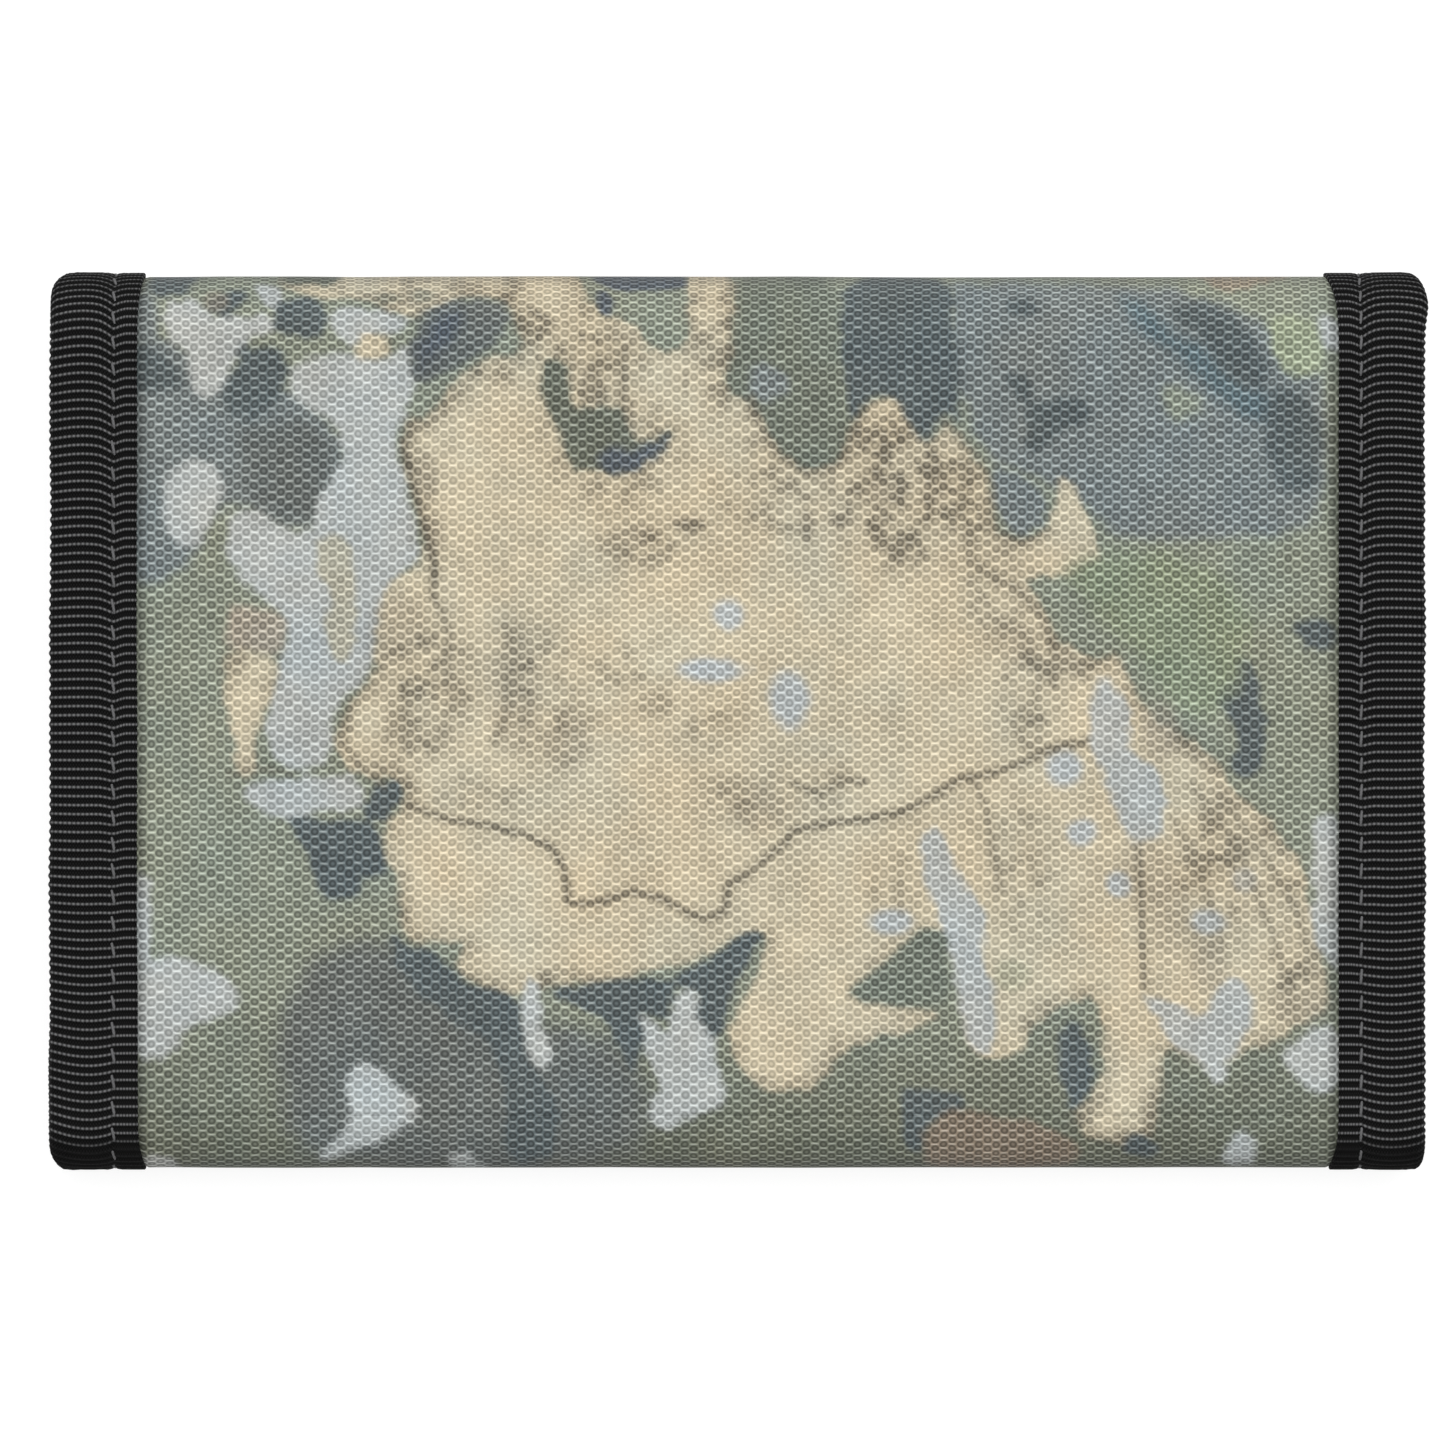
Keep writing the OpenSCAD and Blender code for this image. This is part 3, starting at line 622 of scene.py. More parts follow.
# Soft spots: colour, strength, centre and half sizes
SPOTS = [
    (PALE, 0.8, -0.8, 10, 1.6, 1.6), (PALE, 0.9, -2.5, 4.8, 3.6, 1.3), (PALE, 0.8, 5, 2, 2.1, 2.9),
    (PALE, 0.8, 14.5, -19, 2.1, 1.4), (PALE, 0.8, 31, -4.5, 1.9, 1.9), (PALE, 0.8, 32.5, -10.5, 1.6, 1.4),
    (PALE, 0.8, 36, -15.5, 1.3, 1.3), (PALE, 0.7, 44.5, -19, 1.9, 1.4), (PALE, 0.4, 48, -15, 1.3, 1.3),
    (TAN, 0.35, -29.3, 23, 1.2, 2.7), (TAN, 0.35, -28.8, 17.5, 1.2, 2.2), (TAN, 0.3, -32, 9, 3, 4),
    (TAN, 0.3, -21, 3, 3, 6), (TAN, 0.3, -16, -2, 2.5, 3), (TAN, 0.3, 2, -8.5, 3, 2),
    (TAN, 0.35, -5, 18.8, 1.9, 0.9), (TAN, 0.35, -9.5, 17.5, 2.5, 1.1), (TAN, 0.35, 6.5, 18.5, 0.8, 1.6),
    (TAN, 0.35, 10, 19, 1.5, 0.9), (TAN, 0.35, 15.2, 16, 1.1, 1.3), (TAN, 0.35, 18.5, 22, 1.5, 2.5),
    (TAN, 0.3, 14, 22, 2, 1.5), (GREEN, 0.35, 26, -24, 1.9, 1.6), (TAN, 0.35, 44.5, -23, 2, 3),
    (TAN, 0.35, 53, -27, 3, 2), (TAN, 0.3, 27, 7, 1.6, 2.1), (PINK, 0.4, 40, -1, 2, 3),
    (TAN, 0.3, 38.5, -14, 2.5, 4), (TAN, 0.3, 41, -18, 2, 4), (BROWN, 0.7, -4.5, 18.5, 1.7, 0.6),
    (BROWN, 0.5, -8.2, 17.4, 1.0, 0.7), (BROWN, 0.4, -11.3, 16.2, 1.2, 0.8), (BROWN, 0.45, 6.6, 18, 0.6, 1.5),
    (BROWN, 0.5, 9.7, 18.9, 0.9, 0.6), (BROWN, 0.55, 15.2, 16, 0.9, 1.2),
    (BROWN, 0.35, -10.7, 31.5, 0.4, 3.5),
    (BROWN, 0.35, -4.9, 32, 0.4, 1.5), (BROWN, 0.45, -20, 37.3, 1.2, 0.9), (OLIVE, 0.6, -33, 40.3, 1.3, 0.6),
    (OLIVE, 0.6, -29.8, 40.6, 1.1, 0.7), (TAN, 0.5, -49.5, 40, 1.4, 1.2),
    (BROWN, 0.3, -32.5, -0.5, 0.9, 1.8), (BROWN, 0.25, -8, 1.5, 1.8, 1.4), (BROWN, 0.2, -1, -6, 3.5, 1.2)]

# Cream areas with a lace of brown specks: strength, centre and half sizes
LACE = [
    (0.5, -30, 20, 1.6, 6), (0.5, -30.5, 5, 3.5, 4), (0.5, -20.5, 5, 2, 6), (0.4, -16.5, -2.5, 2, 3),
    (0.45, -12, 26, 8, 7), (0.45, -8, 16.5, 7, 2.5), (0.4, 2.5, 25.5, 3, 2.5), (0.4, -31, -2, 3, 3),
    (0.4, -11, 5, 3, 2.5), (0.4, 0, -8, 5, 2.5), (0.35, -24, -7, 6, 2), (0.45, 24, 12, 3, 6),
    (0.4, 46, -11, 3, 6), (0.5, 53, -26, 3, 3), (0.35, 15, -16, 3, 4),
    (0.75, 17, 21, 9, 8), (0.6, 13, 27, 3.5, 3), (0.65, 28, 4, 4, 7), (0.65, -22, 36.5, 5, 5),
    (0.6, -13, 33, 5, 5), (0.5, 4, 21, 7, 4), (0.5, 53, -20, 4, 8), (0.45, -29, 4, 5, 8), (0.4, -18, 2, 5, 8),
    (0.35, -4, 1, 5, 5), (0.4, 7, -6, 5, 4), (0.45, 45, -15, 5, 8), (0.35, 27, -14, 4, 8), (0.5, 36, 9, 4, 4),
    (0.5, -30, 41, 11, 1.6), (0.6, -17, 37, 4, 4), (0.4, -2, 34, 2, 6), (0.4, 41, 0, 5, 4)]

# Thin dark cracks in the cream: strength and path
CRACKS = [
    (0.75, "-31,-8 -28,-9.2 -24,-9.8 -20,-10.8 -17.5,-12 -16.3,-14 -16,-17.3 -13,-17.2 -10,-16.2 -7,-16.8"
           " -5,-18 -3,-18.7 -1.2,-18 -.8,-15.5 1,-14.5 4,-12 5.5,-10.3 8,-9.8 12,-9.3 15,-8.8 18,-7.5"
           " 21,-5.5 24,-5 27,-4 30,-2.5 33,-2"),
    (0.7, "5.5,-6 8,-7 10,-5.5 12,-5.8"),
    (0.6, "38,-12 38.2,-18 38.5,-25"),
    (0.45, "22.5,-6 23.5,-8 24,-11 25,-16"),
    (0.8, "-31.7,26.5 -30.7,22.5 -29.6,18.5 -28.6,15 -28.8,11.5"),
    (0.45, "-28.6,11.5 -27.2,8.5 -27.6,5 -25.5,2"),
    (0.45, "-22,9 -20.5,5 -21.5,1 -23,-2"),
    (0.6, "1.3,30.5 2.3,27.5 4,25.2 7,23.2 9.5,24.2 11,27 12,29.5"),
    (0.45, "-10.7,34.5 -10.8,31 -10.3,28"),
    (0.5, "-21.5,40.5 -20.5,38.5 -19.8,36 -21,34.5"),
    (0.5, "-33.5,-6 -36,-4 -37.5,-1.5 -36.5,1.5"),
    (0.4, "19.5,28.5 22.5,25.5 24.3,22 24.5,18.2 27,16.8 29.6,18"),
    (0.4, "-48,-5 -45,-4.5 -42,-5"),
    (0.4, "43,-6 46,-10 49,-16 51,-21 52.5,-27"),
    (0.4, "46,-7.5 50,-13 53,-18 54.5,-24"),
    (0.3, "41,-9 44,-15 46,-21"),
    (0.4, "40.5,1 43,-3 45.5,-5"),
    (0.45, "24,14 26.5,12.5 29,9.5 30,6 33,4"),
    (0.4, "24.5,9.5 27,8.5 29,5 28,1.5 26,0 27.5,-2.5 30,-3")]


def pairs(text):
    return np.array([[float(v) for v in p.split(",")] for p in text.split()])


def rounded(points):
    """The closed outline with its corners cut twice."""
    for _ in range(2):
        nxt = np.roll(points, -1, 0)
        points = np.stack([points * 0.78 + nxt * 0.22, points * 0.22 + nxt * 0.78], 1).reshape(-1, 2)
    return points


def gap_to(points, closed, x, y):
    """Distance from each x, y to a line, and whether it is inside the line if that is closed."""
    ends = np.roll(points, -1, 0) if closed else points[1:]
    starts = points if closed else points[:-1]
    best = np.full(x.shape, 1e9)
    inside = np.zeros(x.shape, bool)
    for (ax, ay), (bx, by) in zip(starts, ends):
        dx = bx - ax
        dy = by - ay
        t = np.clip(((x - ax) * dx + (y - ay) * dy) / (dx * dx + dy * dy + 1e-9), 0, 1)
        best = np.minimum(best, np.hypot(x - ax - t * dx, y - ay - t * dy))
        if closed and ay != by:
            crosses = (ay > y) != (by > y)
            inside ^= crosses & (x < (y - ay) / dy * dx + ax)
    return best, inside


def paint(x, y):
    """The print's colour at x, y on the back face, with painted shade towards the bottom, where the face
    turns over the folds and beside the ribbons.
    """
    shape = x.shape
    x = x.ravel()
    y = y.ravel()
    ragged = 0.30 * noise(x, y, 0.85, 1) + 0.35 * noise(x, y, 2.3, 2)
    specks = 0.6 * noise(x, y, 1.3, 15) + 0.5 * noise(x, y, 0.7, 16)
    patchy = noise(x, y, 6.5, 18)
    # Painted shade: the base sage darkens towards the bottom of the face.
    low = step(-24, -40, y)[:, None]
    colour = np.array(SAGE) * (1 - low) + np.array(SAGE_SHADED) * low
    for tone, soft, text in PATCHES:
        line = rounded(pairs(text))
        near = ((x > line[:, 0].min() - 2) & (x < line[:, 0].max() + 2)
                & (y > line[:, 1].min() - 2) & (y < line[:, 1].max() + 2))
        far, inside = gap_to(line, True, x[near], y[near])
        signed = np.where(inside, far, -far) + ragged[near]
        share = step(-soft, soft, signed)[:, None]
        colour[near] = colour[near] * (1 - share) + np.array(tone) * share
        if tone == CREAM:
            rim = np.exp(-((signed - 0.4) / 0.95) ** 2) * np.clip(0.6 + 0.9 * specks[near], 0, 1)
            share = 0.8 * (rim * np.clip(0.55 + 0.8 * patchy[near], 0, 1))[:, None]
            colour[near] = colour[near] * (1 - share) + np.array(BROWN) * share
    for tone, most, cx, cy, rx, ry in SPOTS:
        r = np.hypot((x - cx) / rx, (y - cy) / ry) - 0.25 * ragged
        share = most * (1 - step(0.55, 1.25, r))[:, None]
        colour = colour * (1 - share) + np.array(tone) * share
    for most, text in CRACKS:
        far, _ = gap_to(pairs(text), False, x, y)
        share = most * (1 - step(0.1, 0.75, far + 0.5 * np.abs(ragged)))[:, None]
        colour = colour * (1 - share) + np.array(BROWN) * share
    cream = step(0.4, 0.55, colour[:, 0])
    for most, cx, cy, rx, ry in LACE:
        r = np.hypot((x - cx) / rx, (y - cy) / ry)
        share = (most * cream * (1 - step(0.5, 1.2, r)) * (0.2 + 0.8 * step(-0.1, 0.45, specks)))[:, None]
        colour = colour * (1 - share) + np.array(BROWN) * share
    blotch = 1 + 0.06 * noise(x, y, 5, 5) + 0.05 * noise(x, y, 1.9, 6) + 0.04 * specks
    warm = 0.035 * noise(x, y, 7, 8) + 0.02 * noise(x, y, 2.5, 9)
    colour = colour * blotch[:, None] * np.stack([1 + warm, 1 + 0 * warm, 1 - warm], -1)
    # Painted shade: darker where the face turns over the bottom and top folds.
    colour = colour * (1 - 0.35 * step(-41.2, -42.4, y) - 0.3 * step(41.3, 42.4, y))[:, None]
    # Painted shadow: a dark band on the cloth along the edge of each raised ribbon.
    colour = colour * (1 - 0.45 * step(RIBBON_IN - 0.6, RIBBON_IN + 0.7, np.abs(x)))[:, None]
    return colour.reshape(*shape, 3)


def print_at(x, s):
    """The print carries on round the folds as its own mirror image."""
    y = outline(s)[0]
    y = np.where(s < S_TOP, HALF_H - (S_TOP - s), y)
    y = np.where(s > S_LOW, -HALF_H + (s - S_LOW), y)
    return paint(x + 0 * s, y + 0 * x)


# ---------------------------------------------------------------- printed fabric
FABRIC_AT = 0.42
FABRIC_BACK = 1.05
ZIP_TURN = 0.5


def fabric_depth(x, s):
    """Depth of the fabric's face: lower under the ribbons, with faint waves along its length."""
    under = step(RIBBON_IN - 0.2, RIBBON_IN + 0.8, np.abs(x))
    wave = 0.05 * noise(x, s, 17, 11) + 0.03 * noise(x, s, 6, 12)
    full = 0.16 * np.exp(-((s - S_TOP) / 6) ** 2) + 0.36 * np.exp(-((s - S_LOW) / 7) ** 2)
    return FABRIC_AT + 0.06 + (wave - full) * (1 - under) + 0.16 * under


zip_open = corners("third_outer_fabric")[1][1]
FABRIC_ENDS = [0.6, S_TOP, S5 - 0.4, S_LOW, S6 + zip_open - LOW_C]
FABRIC_NODES = [("flap_outer_fabric", "top_fold_fabric"), ("back_outer_fabric",),
                ("bottom_fold_fabric",), ("third_outer_fabric",)]
for n in range(4):
    fine = 0.4 if n in (1, 2) else 0.8
    s0 = FABRIC_ENDS[n]
    s1 = FABRIC_ENDS[n + 1]
    s = np.linspace(s0, s1, int((s1 - s0) / fine) + 1)[:, None]
    inner_x = np.linspace(-RIBBON_IN - 1.4, RIBBON_IN + 1.4, int(115 / fine))
    x = np.concatenate([[-HALF_W + 0.9, -HALF_W + 3], inner_x, [HALF_W - 3, HALF_W - 0.9]])[None, :]
    outer_d = fabric_depth(x, s)
    if n == 3:
        outer_d = outer_d + ZIP_TURN * quarter_round((s1 - s) / ZIP_TURN)
    cloth = slab(f"printed_fabric_{n + 1}", place(x, s, outer_d), place(x, s, FABRIC_BACK + 0 * outer_d),
                 np.stack(np.broadcast_arrays(x, s), -1), print_at(x, s))
    dress(cloth, FABRIC)
    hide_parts(*FABRIC_NODES[n])
    bend(cloth)


# ---------------------------------------------------------------- lining and boards
def deepen(s):
    """From 0 on the bottom fold to 1 on the third panel, whose pocket is thicker."""
    return step(S6 - 1.5, S6 + 8, s)


LINING_AT = THICK - corners("back_board")[0][2]
LINING_T = corners("back_board")[0][2] - corners("back_lining")[0][2]
THIRD_DEEP = corners("third_lining")[0][2] - THIRD_Z - LINING_AT
LINING_NODES = [("flap_lining", "top_fold_lining"), ("back_lining",), ("bottom_fold_lining",),
                ("third_lining",)]
for n in range(4):
    s = np.linspace(max(SEAMS[n], 0.6), min(SEAMS[n + 1], S7 - 0.6), 60)[:, None]
    t = np.linspace(0, 1, 90)[None, :]
    x_end = MOUTH_X + (HALF_W - 0.7 - MOUTH_X) * step(S6, S6 + 3, s)
    x = (-HALF_W + 0.7) * (1 - t) + x_end * t
    d = LINING_AT + THIRD_DEEP * deepen(s)
    puff = 0.04 * noise(x, s, 9, 21)
    cloth = slab(f"lining_{n + 1}", place(x, s, d + 0.02), place(x, s, d + LINING_T + puff),
                 np.stack(np.broadcast_arrays(x, s), -1))
    dress(cloth, LINING)
    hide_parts(*LINING_NODES[n])
    bend(cloth)

# The boards stop short of the bends and of the note pocket's mouth
for node, body in (("flap_board", "flap"), ("back_board", "back_panel"), ("third_board", "third_panel")):
    low, high = corners(node)
    third = node == "third_board"
    inset = 2.5 if third else 4.0
    y1 = high[1] - (0.3 if third else 6.9)
    y0 = {"flap_board": low[1] + 1.0, "back_board": low[1] + inset + 1.5, "third_board": LOW_C + 8.5}[node]
    x1 = high[0] - inset if third else MOUTH_X - 1.5
    board = flat(node + "_sheet", low[0] + inset, x1, y0, y1, high[2], low[2], 4.0, 0.2)
    dress(board, BOARD)
    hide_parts(node)
    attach(board, body)


# ---------------------------------------------------------------- ribbons
STITCH_AT = 3.0
STITCH_PITCH = 2.5
STITCH_L = 1.55
ACROSS = np.array([0, 0.1, 0.7, 1.5, 2.3, 2.7, 3.0, 3.3, 3.7, 4.3, 5.0, 5.9, 6.8, 7.5])
EDGE_R = 1.02
RIBBON_T = 0.45


def section(width, depth):
    """Outer line of a folded ribbon for each depth: distance across, depth and normal."""
    turn = np.linspace(-PI / 2, 0, 5)[1:]
    flat_part = ACROSS[ACROSS < width - EDGE_R]
    across = np.concatenate([flat_part, width - EDGE_R + EDGE_R * np.cos(turn)])
    down = np.concatenate([0 * flat_part, EDGE_R + EDGE_R * np.sin(turn)])
    na = np.concatenate([0 * flat_part, np.cos(turn)])
    nd = np.concatenate([0 * flat_part - 1, np.sin(turn)])
    depth = np.asarray(depth, float)[:, None]
    far = depth - down[::-1][None, :]
    rows = [np.broadcast_to(v, far.shape) for v in (across, down, na, nd)]
    back = [np.broadcast_to(v[::-1], far.shape) for v in (across, na, -nd)]
    return (np.hstack([rows[0], back[0]]), np.hstack([rows[1], far]),
            np.hstack([rows[2], back[1]]), np.hstack([rows[3], back[2]]))


def ribbed(name, along, width, depth, put, shift, flip, pull=0.0):
    """A ribbed ribbon folded over an edge. put(along, across, depth) gives the points."""
    a, d, na, nd = section(width, depth)
    t = along[:, None]
    face = np.arange(a.shape[1])[None, :] < a.shape[1] / 2
    v = t + np.where(face, shift(t, a), 0)
    near = np.exp(-((a - STITCH_AT) / 0.28) ** 2)
    rib = 0.085 * np.cos(2 * PI * v / RIB) * (1 - 0.6 * near)
    thin = step(0, 0.12, a) * 0.12
    lift = rib - 0.13 * near - 0.12 + thin + 0.03 * noise(a, t, 5, 31)
    bulge = 0.05 * step(2.6, 5, a)
    pulled = a - pull * step(3.5, width, a)
    outer_a = pulled + na * (lift + bulge)
    outer_d = d + nd * (lift + bulge)
    pick = np.unique(np.linspace(0, a.shape[1] - 1, 9).astype(int))[::-1]
    inner_a = (pulled - na * RIBBON_T)[:, pick]
    inner_d = (d - nd * RIBBON_T)[:, pick]
    length = np.concatenate([[0], np.cumsum(np.hypot(np.diff(a[0]), np.diff(d[0])))])
    ring_a = np.hstack([outer_a, inner_a])
    ring_d = np.hstack([outer_d, inner_d])
    u = np.concatenate([length, length[pick]])[None, :] + 0 * t
    uv = np.stack([u, np.hstack([v, v[:, pick]])], -1)
    made = tube(name, put(t, ring_a, ring_d), uv, flip)
    return dress(made, RIBBON)


def side_shift(side):
    """How the ribs bow: they dip at the stitches, and the outer part arches up at the top and down below."""
    def shift(s, a):
        y = outline(s)[0]
        on_back = (s > S_TOP) & (s < S_LOW)
        high = y / HALF_H
        dip = -0.34 * step(-0.9, 0.1, high) * np.exp(-((a - STITCH_AT) / 0.8) ** 2)
        outer = np.clip((a - STITCH_AT) / 6.4, 0, 1)
        arch = np.where(side < 0, 0.75 * high + 0.05, 0.75 * high - 0.05) * np.sin(PI * outer ** 0.85) * 0.8
        tail = np.where(side < 0, 0.5 * step(-0.3, -0.9, high), 0) * outer ** 2
        return np.where(on_back, dip + arch + tail, dip * 0.5)
    return shift


def side_depth(side, s):
    shallow = corners("back_left_ribbon" if side < 0 else "back_right_ribbon")
    most = THIRD_HIGH[2] - THIRD_LOW[2]
    base = shallow[1][2] - shallow[0][2]
    return base + (most - base) * deepen(s)


def corner_pull(side, s):
    """How far the ribbon's outer edge draws in where it turns over a fold."""
    top = (1.1 if side < 0 else 0.7) * np.exp(-((s - S_TOP) / 2.8) ** 2)
    low = (0.6 if side < 0 else 0.15) * np.exp(-((s - S_LOW) / 2.4) ** 2)
    belly = -0.3 * np.exp(-((s - S_TOP - 6.6) / 2.2) ** 2) * (side > 0)
    return top + low + belly - 0.1 * noise(s, 0 * s + side * 9, 6, 41)


def inner_edge(side, s):
    """How far the ribbon reaches in past its CAD edge: it stops short of it, least at the folds."""
    top = (0.5 if side < 0 else 1.2) * np.exp(-((s - S_TOP) / 5.5) ** 2)
    low = (0.7 if side < 0 else 0.8) * np.exp(-((s - S_LOW) / 4.0) ** 2)
    return top + low - (0.75 if side < 0 else 0.9) + 0.08 * noise(s, 0 * s + side * 5, 9, 42)


def side_put(side):
    def put(s, a, d):
        wide = inner_edge(side, s) * (1 - step(0, 3.0, a))
        return place(side * (RIBBON_IN + a - wide), s, d)
    return put


SIDE_NODES = [("flap_{}_ribbon", "top_fold_{}_ribbon"), ("back_{}_ribbon",), ("bottom_fold_{}_ribbon",),
              ("third_{}_ribbon",)]
for side, word in ((-1, "left"), (1, "right")):
    for n in range(4):
        count = int((SEAMS[n + 1] - SEAMS[n]) / RIB * 6)
        s = np.linspace(SEAMS[n], SEAMS[n + 1], count + 1)
        cloth = ribbed(f"ribbon_{word}_{n + 1}", s, RIBBON_W, side_depth(side, s), side_put(side),
                       side_shift(side), side < 0, corner_pull(side, s)[:, None])
        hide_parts(*[node.format(word) for node in SIDE_NODES[n]])
        bend(cloth)
        # Stitches on both faces of this stretch
        at = np.arange(SEAMS[0] + 0.8, SEAMS[4] - 1.5, STITCH_PITCH)
        at = at[(at >= SEAMS[n]) & (at < SEAMS[n + 1] - 0.6)]
        frames = []
        for face in (0, 1):
            lean = 0.17 if side < 0 else -0.07
            deep = 0 * at + 0.16 if face == 0 else side_depth(side, at) - 0.16
            far = 0 * at + 0.16 if face == 0 else side_depth(side, at + 1.5) - 0.16
            p = side_put(side)(at, 0 * at + STITCH_AT - side * lean, deep)
            q = side_put(side)(at + STITCH_L, 0 * at + STITCH_AT + side * lean, far)
            ny, nz = outline(at + 0.75)[2:]
            normal = np.stack([0 * ny, ny, nz], -1) * (1 if face == 0 else -1)
            frames += stitch_frames(p, q, normal)
        thread = dress(many(f"stitches_{word}_{n + 1}", *STITCH, frames), THREAD)
        bend(thread)


def no_shift(t, a):
    return 0 * t * a


def end_ribbon(name, node, body, out, z_face, z_dir):
    """Ribbon over a free end, between the side ribbons. out is the end's direction along y."""
    low, high = corners(node)
    end = high[1] if out > 0 else low[1]
    width = high[1] - low[1]
    x = np.linspace(low[0] - 0.4, high[0] + 0.4, int((high[0] - low[0]) / RIB * 6))

    def put(t, a, d):
        y = end - out * (width - a)
        return np.stack(np.broadcast_arrays(t, y, z_face + z_dir * d), -1)

    deep = np.full(len(x), high[2] - low[2])
    cloth = ribbed(name, x, width, deep, put, no_shift, out > 0)
    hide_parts(node)
    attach(cloth, body)
    at = np.arange(low[0] + 1, high[0] - 2, STITCH_PITCH)
    frames = []
    for face in (0, 1):
        d = 0.16 if face == 0 else high[2] - low[2] - 0.16
        p = put(at, 0 * at + STITCH_AT - 0.1, d)
        q = put(at + STITCH_L, 0 * at + STITCH_AT + 0.1, d)
        normal = np.tile([0, 0, -z_dir if face == 0 else z_dir], (len(at), 1))
        frames += stitch_frames(p, q, normal)
    thread = dress(many(name + "_stitches", *STITCH, frames), THREAD)
    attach(thread, body)


end_ribbon("ribbon_flap_end", "flap_end_ribbon", "flap", -1, 0, 1)
end_ribbon("ribbon_third_end", "third_end_ribbon", "third_panel", 1, THIRD_Z, 1)

# ---------------------------------------------------------------- mouth of the note pocket
tape_low, tape_high = corners("flap_mouth_tape")
TAPE_NODES = [("flap_mouth_tape",), ("back_mouth_tape",), ()]
TAPE_ENDS = [tape_low[1] - END_Y, S_TOP, S_MID, S5 - 1]
for n in range(3):
    s0 = TAPE_ENDS[n]
    s1 = TAPE_ENDS[n + 1]
    s = np.linspace(s0, s1, int((s1 - s0) / 0.28) + 1)[:, None]
    x = np.concatenate([[0, 0.12, 0.3], np.linspace(0.7, 5.5, 7), [5.9, 6.15, 6.3]])[None, :] + tape_low[0]
    edge = np.minimum(x - tape_low[0], tape_high[0] - x)
    soft = 0.1 * (1 - step(0, 0.3, edge))
    rib = 0.03 * np.cos(2 * PI * s / RIB)
    d = LINING_AT + LINING_T
    cloth = slab(f"mouth_tape_{n + 1}", place(x, s, 1.62 + soft + 0 * s), place(x, s, d + 0.27 - soft + rib),
                 np.stack(np.broadcast_arrays(x - tape_low[0], s), -1))
    dress(cloth, RIBBON)
    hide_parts(*TAPE_NODES[n])
    bend(cloth)
    at = np.arange(TAPE_ENDS[0] + 1, TAPE_ENDS[3] - 2, STITCH_PITCH)
    at = at[(at >= s0) & (at < s1 - 1)]
    ny, nz = outline(at + 0.75)[2:]
    frames = stitch_frames(place(0 * at + tape_low[0] + 1.2, at, d + 0.27),
                           place(0 * at + tape_low[0] + 1.2, at + STITCH_L, d + 0.27),
                           np.stack([0 * ny, -ny, -nz], -1), 0.7)
    bend(dress(many(f"mouth_stitches_{n + 1}", *STITCH, frames), THREAD))


# ---------------------------------------------------------------- flat pieces on the panels
def flat_stitches(name, body, lines, up, thick=0.7):
    """Stitches along straight lines given as (x0, y0, x1, y1, z)."""
    frames = []
    for x0, y0, x1, y1, z in lines:
        length = math.hypot(x1 - x0, y1 - y0)
        way = np.array([x1 - x0, y1 - y0, 0]) / length
        at = np.arange(0.4, length - 1.6, 2.2)[:, None]
        p = np.array([x0, y0, z]) + at * way
        frames += stitch_frames(p, p + 1.4 * way, np.tile([0, 0, up], (len(at), 1)), thick)
    made = dress(many(name, *STITCH, frames), THREAD)
    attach(made, body)


def frame_lines(x0, x1, y0, y1, inset, z, sides="lrbt"):
    x0, x1, y0, y1 = x0 + inset, x1 - inset, y0 + inset, y1 - inset
    lines = {"l": (x0, y0, x0, y1, z), "r": (x1, y0, x1, y1, z), "b": (x0, y0, x1, y0, z),
             "t": (x0, y1, x1, y1, z)}
    return [lines[k] for k in sides]


# Card pockets: each sheet is sewn down on three sides and stands a card's room off at its mouth
POCKET_T = 0.42
SEAM = 3.0
pocket_lines = []
for name in ("card_pocket_back", "card_pocket_middle", "card_pocket_front"):
    low, high = corners(name)
    face_z = high[2] - POCKET_T

    def lift(x, y, low=low, high=high):
        inside = np.minimum(np.minimum(x - low[0], high[0] - x), y - low[1])
        sag = 0.12 * noise(x, y, 14, 51) - 0.05
        rise = (high[2] - low[2] - POCKET_T) * step(SEAM * 0.4, SEAM + 3, inside)
        return np.clip(sag, -0.05, 0.1) - rise

    sheet = flat(name + "_sheet", low[0], high[0], low[1], high[1], face_z, high[2], 1.2, 0.25, -1, lift)
    n_half = len(sheet.data.vertices) // 2
    for v in range(n_half):
        co = sheet.data.vertices[v + n_half].co
        shift = sheet.data.vertices[v].co.z - face_z / 1000
        co.z += max(min(shift, 0.0), -0.0006)
    dress(sheet, LINING)
    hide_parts(name)
    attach(sheet, "back_panel")
    hem = flat(name + "_hem", low[0] + 3.2, high[0] - 3.2, high[1] - 5, high[1] + 0.15, low[2] - 0.06,
               low[2] + 0.1, 0.8, 0.2, -1)
    dress(hem, RIBBON)
    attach(hem, "back_panel")
    pocket_lines.append((low[0] + 3.4, high[1] - 4.2, high[0] - 3.4, high[1] - 4.2, low[2] - 0.06))
    pocket_lines.append((low[0] + 1.3, low[1] + 1, low[0] + 1.3, high[1] - 1, face_z))
    pocket_lines.append((high[0] - 1.3, low[1] + 1, high[0] - 1.3, high[1] - 1, face_z))
flat_stitches("card_pocket_stitches", "back_panel", pocket_lines, -1)

